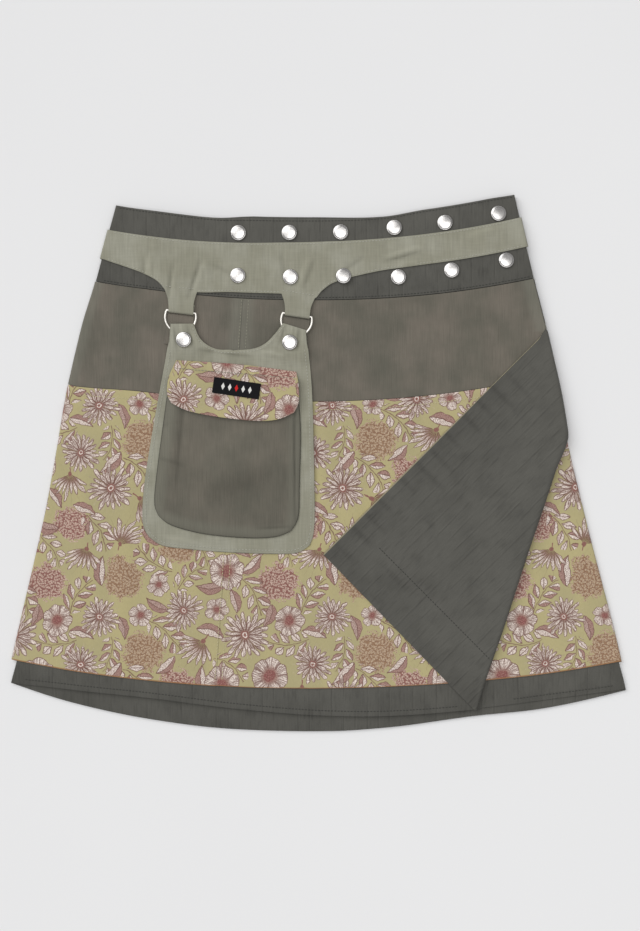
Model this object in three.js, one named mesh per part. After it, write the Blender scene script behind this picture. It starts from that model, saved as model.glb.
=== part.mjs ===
// A reversible wrap skirt, laid flat with its front up and one front corner folded back.
// Every cloth piece is a wall with an even thickness on a grid of mid-surface points.
// The skirt is cut as a sector of a ring, so its panels are laid out by angle and radius
// about one apex above the waist. Millimetres, +X to the wearer's left, +Y to the waist, +Z up.
import * as THREE from "three";
import { mergeVertices } from "three/addons/utils/BufferGeometryUtils.js";

// ---- Driving sizes ----

const WALL = 1.0; // one ply of cloth with its air
const BAND_WALL = 2.0; // a waistband: two plies and their stiffening
const GAP = 0.3; // between plies, and across each seam
const PITCH = WALL + GAP; // one ply up
const LOOSE = 0.7; // the gap under the belt and the flap, which lie more loosely

const APEX = { x: -5.3, y: 1090.76 }; // centre of the sector
const LEFT_SIDE = -12.41; // the side folds, in degrees from straight down
const RIGHT_SIDE = 12.79;
const SIDE_INSET = 2.45; // from a side's outline to the centre of the panels' fold
const BAND_INSET = 0.9; // and to the waistband's ends
const BELT_INSET = 1.1; // and to the centre of the belt's fold
const BELT_REACH = 1.4; // how far the belt's mid-surface goes out round the waistband's ends
const FRONT_SEAM = -4.04; // the seam down the front
const UNDERLAP_EDGE = -9.5; // free edge of the hidden underlap
const UNDERLAP_RAMP = 2.3; // degrees over which the front steps up onto the underlap
const COLUMN_STEP = 1.6; // degrees between a panel's columns of points
const STEADY_TO = UNDERLAP_EDGE + 9 * COLUMN_STEP; // past here the front's columns follow the fold

// Radii of the long edges, by angle: the waistband's two edges and the seam of yoke and print.
const EDGES = [
  { angle: -12.41, bandTop: 866.5, backTop: 866.5, bandFoot: 941.0, yokeFoot: 1042.0 },
  { angle: -9.0, bandTop: 864.2, backTop: 863.8, bandFoot: 938.6, yokeFoot: 1035.4 },
  { angle: -6.2, bandTop: 863.4, backTop: 862.6, bandFoot: 937.4, yokeFoot: 1033.9 },
  { angle: -3.6, bandTop: 860.6, backTop: 858.2, bandFoot: 936.7, yokeFoot: 1032.9 },
  { angle: 0.0, bandTop: 859.4, backTop: 857.2, bandFoot: 936.0, yokeFoot: 1032.0 },
  { angle: 4.4, bandTop: 859.8, backTop: 859.2, bandFoot: 936.9, yokeFoot: 1032.0 },
  { angle: 7.2, bandTop: 857.0, backTop: 856.6, bandFoot: 937.6, yokeFoot: 1032.0 },
  { angle: 11.0, bandTop: 856.6, backTop: 856.6, bandFoot: 938.5, yokeFoot: 1032.0 },
  { angle: 12.79, bandTop: 857.9, backTop: 857.9, bandFoot: 939.0, yokeFoot: 1032.0 },
];

// How far each side bulges out beyond its straight line, by radius.
const SIDES = [
  { radius: 866.0, left: 1.1, right: 1.6 },
  { radius: 903.0, left: 2.9, right: 1.7 },
  { radius: 941.0, left: 4.4, right: 2.0 },
  { radius: 991.0, left: 8.0, right: 1.0 },
  { radius: 1042.0, left: 8.6, right: 0.6 },
  { radius: 1108.0, left: 5.7, right: -1.6 },
  { radius: 1175.0, left: 3.6, right: -0.8 },
  { radius: 1308.0, left: 4.9, right: 2.6 },
  { radius: 1328.0, left: 0.5, right: 0.6 },
];

// Radii of the hems, by angle: the print's, the front's dark hem and the back's.
const HEMS = [
  { angle: -12.41, print: 1308.0, front: 1330.0, back: 1330.0 },
  { angle: -10.0, print: 1307.0, front: 1325.0, back: 1336.7 },
  { angle: -6.7, print: 1305.5, front: 1322.0, back: 1342.0 },
  { angle: -3.2, print: 1304.5, front: 1325.0, back: 1344.7 },
  { angle: 0.7, print: 1304.0, front: 1330.0, back: 1344.7 },
  { angle: 3.0, print: 1304.5, front: 1332.0, back: 1343.0 },
  { angle: 6.6, print: 1307.0, front: 1333.0, back: 1339.0 },
  { angle: 9.4, print: 1309.5, front: 1334.0, back: 1341.0 },
  { angle: 12.79, print: 1312.0, front: 1338.6, back: 1339.0 },
];

// The fold of the turned-back corner: its angle, and how far along the corner's free edge
// the cloth at that radius ends up.
const FOLD = [
  { radius: 930.0, angle: 12.87, reach: 0.0 },
  { radius: 990.7, angle: 12.96, reach: 7.0 },
  { radius: 1032.0, angle: 12.96, reach: 79.0 },
  { radius: 1088.0, angle: 12.82, reach: 118.0 },
  { radius: 1122.0, angle: 11.8, reach: 141.0 },
  { radius: 1199.0, angle: 9.67, reach: 194.0 },
  { radius: 1270.0, angle: 8.0, reach: 243.0 },
  { radius: 1308.0, angle: 7.15, reach: 270.0 },
  { radius: 1333.0, angle: 6.67, reach: 297.0 },
];
const FOLD_START = 990.7; // radius where the front's free edge turns back
const CORNER_TOP = { x: 214.4, y: 124.2 }; // ends of the folded corner's free edge
const CORNER_TIP = { x: 4.6, y: -85.4 };
const FOLD_LOFT = 4.0; // how far the soft fold stands up at its middle
const FOLD_REACH = 45.0; // how far in from the fold the cloth stays lifted

// The belt over the waistband: radii of its edges, by angle. Its foot runs down to two tabs.
const BELT = [
  { angle: -12.41, top: 890.8, foot: 919.2 },
  { angle: -10.45, top: 889.6, foot: 923.5 },
  { angle: -9.26, top: 888.8, foot: 928.8 },
  { angle: -8.77, top: 888.5, foot: 934.0 },
  { angle: -8.61, top: 888.4, foot: 936.6 },
  { angle: -6.72, top: 886.8, foot: 935.4 },
  { angle: -4.6, top: 884.9, foot: 931.9 },
  { angle: -1.83, top: 882.3, foot: 930.8 },
  { angle: 0.12, top: 881.3, foot: 934.6 },
  { angle: 0.5, top: 881.1, foot: 928.0 },
  { angle: 1.19, top: 880.9, foot: 920.3 },
  { angle: 2.48, top: 880.7, foot: 914.7 },
  { angle: 4.68, top: 880.4, foot: 910.0 },
  { angle: 7.19, top: 880.3, foot: 908.8 },
  { angle: 12.79, top: 880.3, foot: 908.6 },
];

// The two D-rings: centre, turn, and the belt's angles that its tab comes down from.
const RING_WIRE = 1.8;
const RING_RADIUS = 14.6; // of the bow, at the wire's centre
const RING_BAR = 5.0; // from the bow's centre up to the straight bar
const RINGS = [
  { side: "left", x: -130.4, y: 138.5, turn: -7.0, from: -8.61, to: -6.72 },
  { side: "right", x: -20.8, y: 135.4, turn: -8.4, from: -1.83, to: 0.12 },
];
const TAB_HALF = 11.9; // half the width of a belt tab at its ring
const TAB_RETURN = 8.0; // how far the tab's end runs back under itself
const LOOP_HALF = 12.6; // the pouch board's loops, which lie inside the rings
const LOOP_TOP = 2.0;
const LOOP_FOOT = -27.0;
const EAR_FLAT = 29.0; // around a ring the board's ear is lifted over the wire
const EAR_RAMP = 18.0; // and comes down to the skirt over this length

// Snap caps: one column for each row's angle and radius. The caps marked belt sit on the belt.
const SNAP_RADIUS = 7.4;
const SNAP_HEIGHT = 2.6;
const SNAPS = [
  { row: "top", angle: -4.62, radius: 875.6, on: "band" },
  { row: "top", angle: -1.47, radius: 872.8, on: "band" },
  { row: "top", angle: 1.72, radius: 872.4, on: "band" },
  { row: "top", angle: 5.06, radius: 871.2, on: "band" },
  { row: "top", angle: 8.23, radius: 872.0, on: "band" },
  { row: "top", angle: 11.6, radius: 872.2, on: "band" },
  { row: "low", angle: -4.44, radius: 915.9, on: "belt" },
  { row: "low", angle: -1.33, radius: 914.8, on: "belt" },
  { row: "low", angle: 1.81, radius: 914.0, on: "belt" },
  { row: "low", angle: 5.05, radius: 918.0, on: "band" },
  { row: "low", angle: 8.22, radius: 917.4, on: "band" },
  { row: "low", angle: 11.5, radius: 917.0, on: "band" },
];
const EAR_SNAPS = [
  { side: "left", x: -127.3, y: 116.9 },
  { side: "right", x: -27.2, y: 114.3 },
];

// The pouch puffs up off its board as a rounded rectangle, turned a little with the board.
const POUCH = { x: -84.5, y: 3.0, halfWidth: 68.0, halfLength: 74.0, turn: -2.5, loft: 3.2 };

// Outlines on the skirt, each as four edges of a patch. Short lists, one point to a bend.
const BOARD_EDGES = {
  foot: [
    [-160.5, -69.5], [-147.4, -77.7], [-122.8, -81.0], [-82.0, -84.3],
    [-33.0, -85.6], [-17.5, -83.4], [-8.0, -77.0],
  ],
  top: [[-143.1, 107.4], [-80.0, 106.9], [-9.6, 107.6]],
  left: [[-160.5, -69.5], [-166.3, -55.0], [-164.6, -18.8], [-155.6, 38.5], [-143.1, 107.4]],
  right: [[-8.0, -77.0], [-4.2, -62.0], [-3.8, -27.1], [-5.9, 63.0], [-9.6, 107.6]],
};
const LEFT_EAR = {
  outer: [[-143.1, 107.4], [-141.1, 116.7], [-140.0, 132.0]],
  inner: [[-80.0, 106.9], [-94.1, 107.5], [-105.4, 112.2], [-112.7, 119.7], [-117.8, 132.1]],
};
const RIGHT_EAR = {
  inner: [[-80.0, 106.9], [-61.0, 108.8], [-48.8, 114.6], [-40.4, 123.7], [-33.4, 132.6]],
  outer: [[-9.6, 107.6], [-10.6, 112.6], [-11.7, 125.9]],
};
const POUCH_EDGES = {
  foot: [
    [-151.5, -48.8], [-140.9, -57.3], [-121.2, -63.8], [-98.3, -67.9],
    [-65.6, -70.4], [-41.0, -69.3], [-26.0, -63.8],
  ],
  top: [[-141.5, 76.0], [-80.0, 74.0], [-19.5, 72.0]],
  left: [[-151.5, -48.8], [-155.1, -35.2], [-152.0, -2.4], [-146.6, 38.5], [-141.5, 76.0]],
  right: [[-26.0, -63.8], [-19.0, -49.9], [-17.9, -18.8], [-16.8, 30.0], [-19.5, 72.0]],
};
const FLAP_EDGES = {
  foot: [
    [-138.6, 56.8], [-126.1, 50.6], [-110.7, 46.6], [-87.9, 42.9],
    [-57.5, 40.1], [-38.0, 41.6], [-23.0, 47.9],
  ],
  top: [[-134.3, 97.6], [-98.3, 95.5], [-67.4, 92.9], [-21.0, 86.7]],
  left: [[-138.6, 56.8], [-142.8, 66.0], [-141.1, 82.7], [-134.3, 97.6]],
  right: [[-23.0, 47.9], [-18.7, 58.0], [-18.8, 74.0], [-21.0, 86.7]],
};
const FLAP_STEP = { from: 86.0, to: 76.0 }; // where the flap climbs onto the pouch
const LABEL = { x: -77.3, y: 70.9, width: 44.6, length: 15.0, turn: -8.3 };

// Finishes: colour, roughness and metalness.
const FINISHES = {
  dark: { color: 0x585954, roughness: 0.9, metalness: 0 },
  taupe: { color: 0x69665d, roughness: 0.92, metalness: 0 },
  print: { color: 0xb0a67c, roughness: 0.9, metalness: 0 },
  sage: { color: 0x928f81, roughness: 0.88, metalness: 0 },
  label: { color: 0x161617, roughness: 0.7, metalness: 0 },
  nickel: { color: 0xd8d8d6, roughness: 0.25, metalness: 1 },
};

// ---- Geometry helpers ----

const radians = THREE.MathUtils.degToRad;
const degrees = THREE.MathUtils.radToDeg;
const { lerp, smoothstep } = THREE.MathUtils;

/** The value of a table's column at a place along its key column, straight between rows. */
function lookUp(table, key, column, at) {
  const next = table.findIndex((row) => row[key] >= at);
  if (next === 0) return table[0][column];
  if (next < 0) return table[table.length - 1][column];
  const [a, b] = [table[next - 1], table[next]];
  return lerp(a[column], b[column], (at - a[key]) / (b[key] - a[key]));
}

/** A plane point from its angle (degrees from straight down) and radius about the apex. */
function polar(angle, radius) {
  const a = radians(angle);
  return new THREE.Vector2(APEX.x + radius * Math.sin(a), APEX.y - radius * Math.cos(a));
}

/** The angle and radius of a plane point. */
function toPolar(point) {
  const across = point.x - APEX.x;
  const down = APEX.y - point.y;
  return { angle: degrees(Math.atan2(across, down)), radius: Math.hypot(across, down) };
}

const raised = (point, height) => new THREE.Vector3(point.x, point.y, height);

/** Evenly spaced numbers from a to b. */
const spread = (a, b, steps) => Array.from({ length: steps + 1 }, (_, i) => lerp(a, b, i / steps));

/**
 * A wall of even thickness on ragged grids of mid-surface points. Grids that share points are
 * sewn together there. Both faces are moved out along the surface's own normals, and every
 * open edge is closed with a strip.
 */
function wall(grids, thickness) {
  const points = [];
  const seen = new Map();
  const idOf = (p) => {
    const key = [p.x, p.y, p.z].map((v) => Math.round(v * 1000)).join();
    if (!seen.has(key)) seen.set(key, points.push(p) - 1);
    return seen.get(key);
  };
  const triangles = [];
  for (const rows of grids) {
    for (let i = 0; i + 1 < rows.length; i++) {
      const columns = Math.min(rows[i].length, rows[i + 1].length);
      for (let j = 0; j + 1 < columns; j++) {
        const corners = [rows[i][j], rows[i + 1][j], rows[i + 1][j + 1], rows[i][j + 1]];
        const [a, b, c, d] = corners.map(idOf);
        triangles.push([a, b, c], [a, c, d]);
      }
    }
  }
  const faces = triangles.filter(([a, b, c]) => a !== b && b !== c && c !== a);
  const normals = points.map(() => new THREE.Vector3());
  for (const [a, b, c] of faces) {
    const ab = points[b].clone().sub(points[a]);
    const ac = points[c].clone().sub(points[a]);
    const normal = ab.cross(ac);
    for (const corner of [a, b, c]) normals[corner].add(normal);
  }
  const half = thickness / 2;
  const count = points.length;
  const vertices = [1, -1].flatMap((side) =>
    points.map((p, i) => p.clone().addScaledVector(normals[i].normalize(), side * half)),
  );
  const index = [];
  const directed = new Set();
  for (const [a, b, c] of faces) {
    index.push(a, b, c, a + count, c + count, b + count);
    for (const edge of [[a, b], [b, c], [c, a]]) directed.add(edge.join());
  }
  for (const edge of directed) {
    const [a, b] = edge.split(",").map(Number);
    if (!directed.has(`${b},${a}`)) index.push(b, a, a + count, b, a + count, b + count);
  }
  const geometry = new THREE.BufferGeometry().setFromPoints(vertices);
  geometry.setIndex(index);
  return geometry;
}

/** Part of a round turn: points about a centre, from one angle up out of the plane to another. */
function turn(centre, outward, radius, height, from, to, steps) {
  return spread(from, to, steps).map((angle) => {
    const out = radius * Math.cos(radians(angle));
    return new THREE.Vector3(
      centre.x + outward.x * out,
      centre.y + outward.y * out,
      height + radius * Math.sin(radians(angle)),
    );
  });
}

/** A smooth curve through a short list of plane points. */
function curve(list) {
  return new THREE.SplineCurve(list.map(([x, y]) => new THREE.Vector2(x, y)));
}

/** A patch between four edge curves, as rows from foot to top. Each height is asked for by point. */
function patch({ foot, top, left, right }, columns, rows, heightAt) {
  const edges = { foot: curve(foot), top: curve(top), left: curve(left), right: curve(right) };
  const corner = (list, end) => new THREE.Vector2(...list.at(end ? -1 : 0));
  return spread(0, 1, rows).map((v) =>
    spread(0, 1, columns).map((u) => {
      const p = edges.foot.getPoint(u).multiplyScalar(1 - v);
      p.addScaledVector(edges.top.getPoint(u), v);
      p.addScaledVector(edges.left.getPoint(v), 1 - u);
      p.addScaledVector(edges.right.getPoint(v), u);
      p.addScaledVector(corner(foot, 0), -(1 - u) * (1 - v));
      p.addScaledVector(corner(foot, 1), -u * (1 - v));
      p.addScaledVector(corner(top, 0), -(1 - u) * v);
      p.addScaledVector(corner(top, 1), -u * v);
      return raised(p, heightAt(p));
    }),
  );
}

// ---- The stack of plies ----

const plyHeight = (ply) => ply * PITCH + WALL / 2;
const edgeAt = (column, shift) => (angle) => lookUp(EDGES, "angle", column, angle) + shift;
const hemAt = (column, shift = 0) => (angle) => lookUp(HEMS, "angle", column, angle) + shift;
const beltAt = (column) => (angle) => lookUp(BELT, "angle", column, angle);

/** How far the front is lifted by the underlap beneath it. */
const underlapLift = (angle) =>
  2 * PITCH * smoothstep(angle, UNDERLAP_EDGE - UNDERLAP_RAMP, UNDERLAP_EDGE);

// Mid-surface heights of the waistband's layers and of what lies over them.
const SIDE_MIDDLE = 1.5 * PITCH + WALL / 2; // the panels' side folds turn about this height
const BAND_BACK = PITCH + BAND_WALL / 2;
const BAND_PITCH = BAND_WALL + GAP;
const BAND_FRONT_TOP = BAND_BACK + BAND_PITCH + 2 * PITCH + BAND_WALL / 2;
const FRONT_TOP = plyHeight(5) + WALL / 2; // the print's upper face, over the underlap
const ON_FRONT = FRONT_TOP + GAP + WALL / 2; // a ply lying on it
const RING_HEIGHT = ON_FRONT + WALL / 2 + GAP + RING_WIRE / 2;
const OVER_RING = RING_HEIGHT + RING_WIRE / 2 + GAP + WALL / 2;

/** The angle that lies in from a side's bulging outline by an inset, at a radius. */
function inFrom(side, radius, inset) {
  const bulge = lookUp(SIDES, "radius", side < 0 ? "left" : "right", radius);
  const angle = degrees((inset - bulge) / radius);
  return side < 0 ? LEFT_SIDE + angle : RIGHT_SIDE - angle;
}

/** The columns that every panel has from one angle to another: closer over the underlap's edge. */
function columnAngles(first, last) {
  const ramp = spread(UNDERLAP_EDGE - UNDERLAP_RAMP, UNDERLAP_EDGE, 4);
  const steps = Math.floor((RIGHT_SIDE - UNDERLAP_EDGE) / COLUMN_STEP);
  const rest = spread(0, steps, steps).slice(1).map((i) => UNDERLAP_EDGE + i * COLUMN_STEP);
  const margin = COLUMN_STEP / 8;
  return [first, ...[...ramp, ...rest].filter((a) => a > first + margin && a < last - margin), last];
}

/** Unit direction out of the skirt at a side. */
function sideways(side) {
  const a = radians(side < 0 ? LEFT_SIDE : RIGHT_SIDE);
  return new THREE.Vector2(side * Math.cos(a), side * Math.sin(a));
}

/**
 * The turn that a row ends in at a side: from its end point towards the fold's middle height, up
 * for a lower ply and down for an upper one, to the seam half way up the side. It is a quarter
 * circle, or a tighter one of radius `reach` that goes on straight to the seam.
 */
function sideTurn(side, anchor, middle, reach = Infinity) {
  const rise = Math.abs(anchor.z - middle);
  const sign = Math.sign(anchor.z - middle);
  if (reach > rise) {
    const seam = degrees(Math.asin(GAP / 2 / rise));
    return turn(anchor, sideways(side), rise, middle, 90 * sign, seam * sign, 4).slice(1);
  }
  const height = anchor.z - sign * reach;
  const points = turn(anchor, sideways(side), reach, height, 90 * sign, 0, 3).slice(1);
  return [...points, raised(points.at(-1), middle + (sign * GAP) / 2)];
}

/**
 * Rows of a panel laid out by angle and radius, from its upper edge to its foot, at the given
 * shares of the way down. It goes from side to side, in from each by an inset, unless it has an
 * angle of its own there. Each side named in `turns` ends in a turn about that height.
 */
function sectorRows(options) {
  const { from, to, top, foot, heightAt, reach, turns = {} } = options;
  const { stops = [0, 0.5, 1], inset = () => SIDE_INSET } = options;
  return stops.map((t) => {
    const radiusAt = (angle) => lerp(top(angle), foot(angle), t);
    const first = from ?? inFrom(-1, radiusAt(LEFT_SIDE), inset(t));
    const last = to ?? inFrom(1, radiusAt(RIGHT_SIDE), inset(t));
    const row = columnAngles(first, last).map((angle) =>
      raised(polar(angle, radiusAt(angle)), heightAt(angle)),
    );
    const left = "left" in turns ? sideTurn(-1, row[0], turns.left, reach).reverse() : [];
    const right = "right" in turns ? sideTurn(1, row.at(-1), turns.right, reach) : [];
    return [...left, ...row, ...right];
  });
}

// The dark side lies inside the print's side folds, and fills the outline below the print's hem.
const REVERSE_STOPS = [0, 0.129, 0.26, 0.602, 0.959, 1];
const reverseInset = (t) => (t === 1 ? GAP : SIDE_INSET);

/** The fold's outline point, outward direction and place along its length, at a radius. */
function foldAt(radius) {
  const at = (r) => polar(lookUp(FOLD, "radius", "angle", r), r);
  const along = at(radius + 2).sub(at(radius - 2)).normalize();
  return {
    point: at(radius),
    outward: new THREE.Vector2(-along.y, along.x),
    share: (radius - FOLD_START) / (FOLD.at(-1).radius - FOLD_START),
  };
}

/** The radii where a front panel's rows meet the fold, the same for every ply. */
function foldStops(from, to) {
  const stops = FOLD.slice(1).flatMap(({ radius }, i) => spread(FOLD[i].radius, radius, 2).slice(1));
  return [from, ...stops.filter((radius) => radius > from + 1 && radius < to - 1), to];
}

/**
 * Rows of a front panel. Each runs from its seam, or the left side, to the turned-back fold. Past
 * the fold's start it goes round the fold and back over the front to the corner's free edge.
 */
function frontRows({ from, top, foot, ply }) {
  const heightAt = (angle) => plyHeight(ply - 2) + underlapLift(angle);
  return foldStops(top(RIGHT_SIDE), foot(FOLD.at(-1).angle)).map((foldRadius) => {
    const end = lookUp(FOLD, "radius", "angle", foldRadius);
    const t = (foldRadius - top(end)) / (foot(end) - top(end));
    const radiusAt = (angle) => lerp(top(angle), foot(angle), t);
    const fold = foldAt(foldRadius);
    const turned = foldRadius > FOLD_START - 0.01;
    const loft = turned ? FOLD_LOFT * Math.sin(Math.PI * Math.min(fold.share, 1)) : 0;
    const outer = 1.5 * PITCH + loft / 2; // the dark side goes round the outside of the fold
    const radius = outer - (ply - 4) * PITCH;
    const centre = fold.point.clone().addScaledVector(fold.outward, -(outer + WALL / 2));
    const last = toPolar(centre);
    const pull = last.radius - radiusAt(last.angle);
    const first = from ?? inFrom(-1, radiusAt(LEFT_SIDE), reverseInset(t));
    const nearFold = spread(STEADY_TO, last.angle, 4).slice(1);
    const row = [...columnAngles(first, STEADY_TO), ...nearFold].map((angle) => {
      const u = (angle - first) / (last.angle - first);
      return raised(polar(angle, radiusAt(angle) + pull * u ** 4), heightAt(angle));
    });
    if (!turned) return row;
    const height = plyHeight(ply) + radius;
    row.push(...turn(centre, fold.outward, radius, height, -90, 90, 6).slice(1));
    const reach = lookUp(FOLD, "radius", "reach", foldRadius);
    const edge = new THREE.Vector2(CORNER_TIP.x - CORNER_TOP.x, CORNER_TIP.y - CORNER_TOP.y);
    const target = edge.normalize().multiplyScalar(reach).add(CORNER_TOP);
    const flat = plyHeight(11 - ply); // plies 5 and 4 come back as 6 and 7
    for (const v of [0.1, 0.2, 0.35, 0.6, 1]) {
      const p = centre.clone().lerp(target, v);
      const settled = smoothstep(p.distanceTo(centre), 0, FOLD_REACH);
      row.push(raised(p, lerp(height + radius, flat, settled)));
    }
    return row;
  });
}

// ---- Sub-parts ----

const skirt = new THREE.Group();

/** Adds one named mesh with its own material. */
function add(name, finish, geometry, position = [0, 0, 0]) {
  const mesh = new THREE.Mesh(geometry, new THREE.MeshStandardMaterial(FINISHES[finish]));
  mesh.name = name;
  mesh.position.set(...position);
  skirt.add(mesh);
}

/** The back: yoke and print on the table, face down, with the dark side over them. */
function addBack() {
  const turns = { left: SIDE_MIDDLE, right: SIDE_MIDDLE };
  const panel = (options) => wall([sectorRows(options)], WALL);
  add("back_yoke", "taupe", panel({
    top: edgeAt("bandFoot", GAP / 2), foot: edgeAt("yokeFoot", -GAP / 2),
    heightAt: () => plyHeight(0), turns,
  }));
  add("back_print", "print", panel({
    top: edgeAt("yokeFoot", GAP / 2), foot: hemAt("print"), heightAt: () => plyHeight(0), turns,
  }));
  add("back_reverse", "dark", panel({
    top: edgeAt("bandFoot", GAP / 2), foot: hemAt("back"), heightAt: () => plyHeight(1),
    stops: REVERSE_STOPS, inset: reverseInset,
  }));
}

/** The underlap: it turns round the right side and lies between back and front. */
function addUnderlap() {
  const turns = { right: SIDE_MIDDLE };
  const panel = (options) => wall([sectorRows({ from: UNDERLAP_EDGE, ...options })], WALL);
  add("underlap_reverse", "dark", panel({
    top: edgeAt("bandFoot", GAP / 2), foot: hemAt("front", -1), heightAt: () => plyHeight(2),
    stops: REVERSE_STOPS, inset: reverseInset,
  }));
  add("underlap_yoke", "taupe", panel({
    top: edgeAt("bandFoot", GAP / 2), foot: edgeAt("yokeFoot", -GAP / 2),
    heightAt: () => plyHeight(3), turns,
  }));
  add("underlap_print", "print", panel({
    top: edgeAt("yokeFoot", GAP / 2), foot: hemAt("print", -1), heightAt: () => plyHeight(3), turns,
  }));
}

/** The front: a narrow and a wide panel in yoke and print, with the dark side under them. */
function addFront() {
  const yokeTop = edgeAt("bandFoot", GAP / 2);
  const yokeFoot = edgeAt("yokeFoot", -GAP / 2);
  const printTop = edgeAt("yokeFoot", GAP / 2);
  const seamAngle = degrees(GAP / 2 / 1000);
  const leftOf = (top, foot) =>
    sectorRows({
      to: FRONT_SEAM - seamAngle, top, foot, turns: { left: SIDE_MIDDLE },
      heightAt: (angle) => plyHeight(3) + underlapLift(angle),
    });
  add("front_left_yoke", "taupe", wall([leftOf(yokeTop, yokeFoot)], WALL));
  add("front_left_print", "print", wall([leftOf(printTop, hemAt("print"))], WALL));
  const from = FRONT_SEAM + seamAngle;
  const front = (options) => wall([frontRows(options)], WALL);
  add("front_right_yoke", "taupe", front({ from, top: yokeTop, foot: yokeFoot, ply: 5 }));
  add("front_right_print", "print", front({ from, top: printTop, foot: hemAt("print"), ply: 5 }));
  add("front_reverse", "dark", front({ top: yokeTop, foot: hemAt("front"), ply: 4 }));
}

/** The waistband: back, underlap and front lengths. */
function addWaistband() {
  const foot = edgeAt("bandFoot", -GAP / 2);
  const band = (options) =>
    wall([sectorRows({ foot, inset: () => BAND_INSET, ...options })], BAND_WALL);
  add("waistband_back", "dark", band({ top: edgeAt("backTop", 0), heightAt: () => BAND_BACK }));
  add("waistband_underlap", "dark", band({
    from: UNDERLAP_EDGE, top: edgeAt("bandTop", 0.5), heightAt: () => BAND_BACK + BAND_PITCH,
  }));
  add("waistband_front", "dark", band({
    top: edgeAt("bandTop", 0), heightAt: (angle) => BAND_BACK + BAND_PITCH + underlapLift(angle),
  }));
}

/** The height of the belt's mid-surface over the front waistband. */
const beltHeight = (angle) =>
  BAND_BACK + BAND_PITCH + BAND_WALL / 2 + LOOSE + WALL / 2 + underlapLift(angle);

/** A column of the belt that goes on down a tab, round the ring's bar and back under. */
function tabColumn(ring, share, start) {
  const spin = radians(ring.turn);
  const across = new THREE.Vector2(Math.cos(spin), Math.sin(spin));
  const up = new THREE.Vector2(-across.y, across.x);
  const bar = new THREE.Vector2(ring.x, ring.y)
    .addScaledVector(up, RING_BAR)
    .addScaledVector(across, lerp(-TAB_HALF, TAB_HALF, share));
  const column = [0.3, 0.6, 0.85].map((v) => {
    const p = new THREE.Vector2(start.x, start.y).lerp(bar, v);
    return raised(p, lerp(start.z, OVER_RING, smoothstep(v, 0, 0.85)));
  });
  const radius = (OVER_RING - ON_FRONT) / 2;
  column.push(...turn(bar, up.clone().negate(), radius, RING_HEIGHT, 90, -90, 8));
  column.push(raised(bar.clone().addScaledVector(up, TAB_RETURN), ON_FRONT));
  return column;
}

/** The belt: a strip round both sides, with two tabs in front that hold the rings. */
function addBelt() {
  const angles = BELT.flatMap(({ angle }, i) => {
    if (i === 0) return [angle];
    const before = BELT[i - 1].angle;
    const inTab = RINGS.some((ring) => ring.from === before);
    return (inTab ? spread(before, angle, 4) : columnAngles(before, angle)).slice(1);
  });
  const columns = angles.map((angle, i) => {
    const side = i === 0 ? -1 : i === angles.length - 1 ? 1 : 0;
    const column = spread(beltAt("top")(angle), beltAt("foot")(angle), 3).map((radius) => {
      const shifted = side === 0 ? angle : inFrom(side, radius, BELT_INSET);
      return raised(polar(shifted, radius), beltHeight(angle));
    });
    const ring = RINGS.find(({ from, to }) => angle >= from && angle <= to);
    if (ring) {
      const share = (angle - ring.from) / (ring.to - ring.from);
      column.push(...tabColumn(ring, share, column.at(-1)));
    }
    return column;
  });
  const middleAt = (angle) => (beltHeight(angle) + WALL / 2) / 2;
  const sideColumns = (side, column, angle) => {
    const turned = column.map((p) => sideTurn(side, p, middleAt(angle), BELT_REACH));
    return turned[0].map((_, i) => turned.map((points) => points[i]));
  };
  const left = sideColumns(-1, columns[0], LEFT_SIDE).reverse();
  const right = sideColumns(1, columns.at(-1), RIGHT_SIDE);
  add("belt_front", "sage", wall([[...left, ...columns, ...right]], WALL));
  const across = (a, b) => (angle) => lerp(a, b, (angle - LEFT_SIDE) / (RIGHT_SIDE - LEFT_SIDE));
  const back = sectorRows({
    top: across(BELT[0].top, BELT.at(-1).top), foot: across(BELT[0].foot, BELT.at(-1).foot),
    heightAt: () => WALL / 2, inset: () => BELT_INSET, reach: BELT_REACH,
    turns: { left: middleAt(LEFT_SIDE), right: middleAt(RIGHT_SIDE) },
  });
  add("belt_back", "sage", wall([back], WALL));
}

/** A D-ring: round wire along a straight bar and a bow. */
function addRings() {
  const barAngle = Math.asin(RING_BAR / RING_RADIUS);
  const halfBar = RING_RADIUS * Math.cos(barAngle);
  const bow = spread(Math.PI - barAngle, 2 * Math.PI + barAngle, 26).map(
    (a) => new THREE.Vector2(RING_RADIUS * Math.cos(a), RING_RADIUS * Math.sin(a)),
  );
  const bar = spread(halfBar, -halfBar, 4).slice(1, -1).map((x) => new THREE.Vector2(x, RING_BAR));
  const path = [...bow, ...bar];
  const sides = 8;
  const vertices = [];
  const index = [];
  path.forEach((p, i) => {
    const along = path[(i + 1) % path.length].clone().sub(path.at(i - 1)).normalize();
    for (let k = 0; k < sides; k++) {
      const around = (2 * Math.PI * k) / sides;
      const out = (RING_WIRE / 2) * Math.cos(around);
      const up = (RING_WIRE / 2) * Math.sin(around);
      vertices.push(new THREE.Vector3(p.x + along.y * out, p.y - along.x * out, up));
      const [a, b] = [i * sides + k, i * sides + ((k + 1) % sides)];
      const next = ((i + 1) % path.length) * sides;
      const [c, d] = [next + k, next + ((k + 1) % sides)];
      index.push(a, c, b, b, c, d);
    }
  });
  for (const ring of RINGS) {
    const geometry = new THREE.BufferGeometry().setFromPoints(vertices);
    geometry.setIndex(index);
    geometry.rotateZ(radians(ring.turn));
    add(`d_ring_${ring.side}`, "nickel", geometry, [ring.x, ring.y, RING_HEIGHT]);
  }
}

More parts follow.
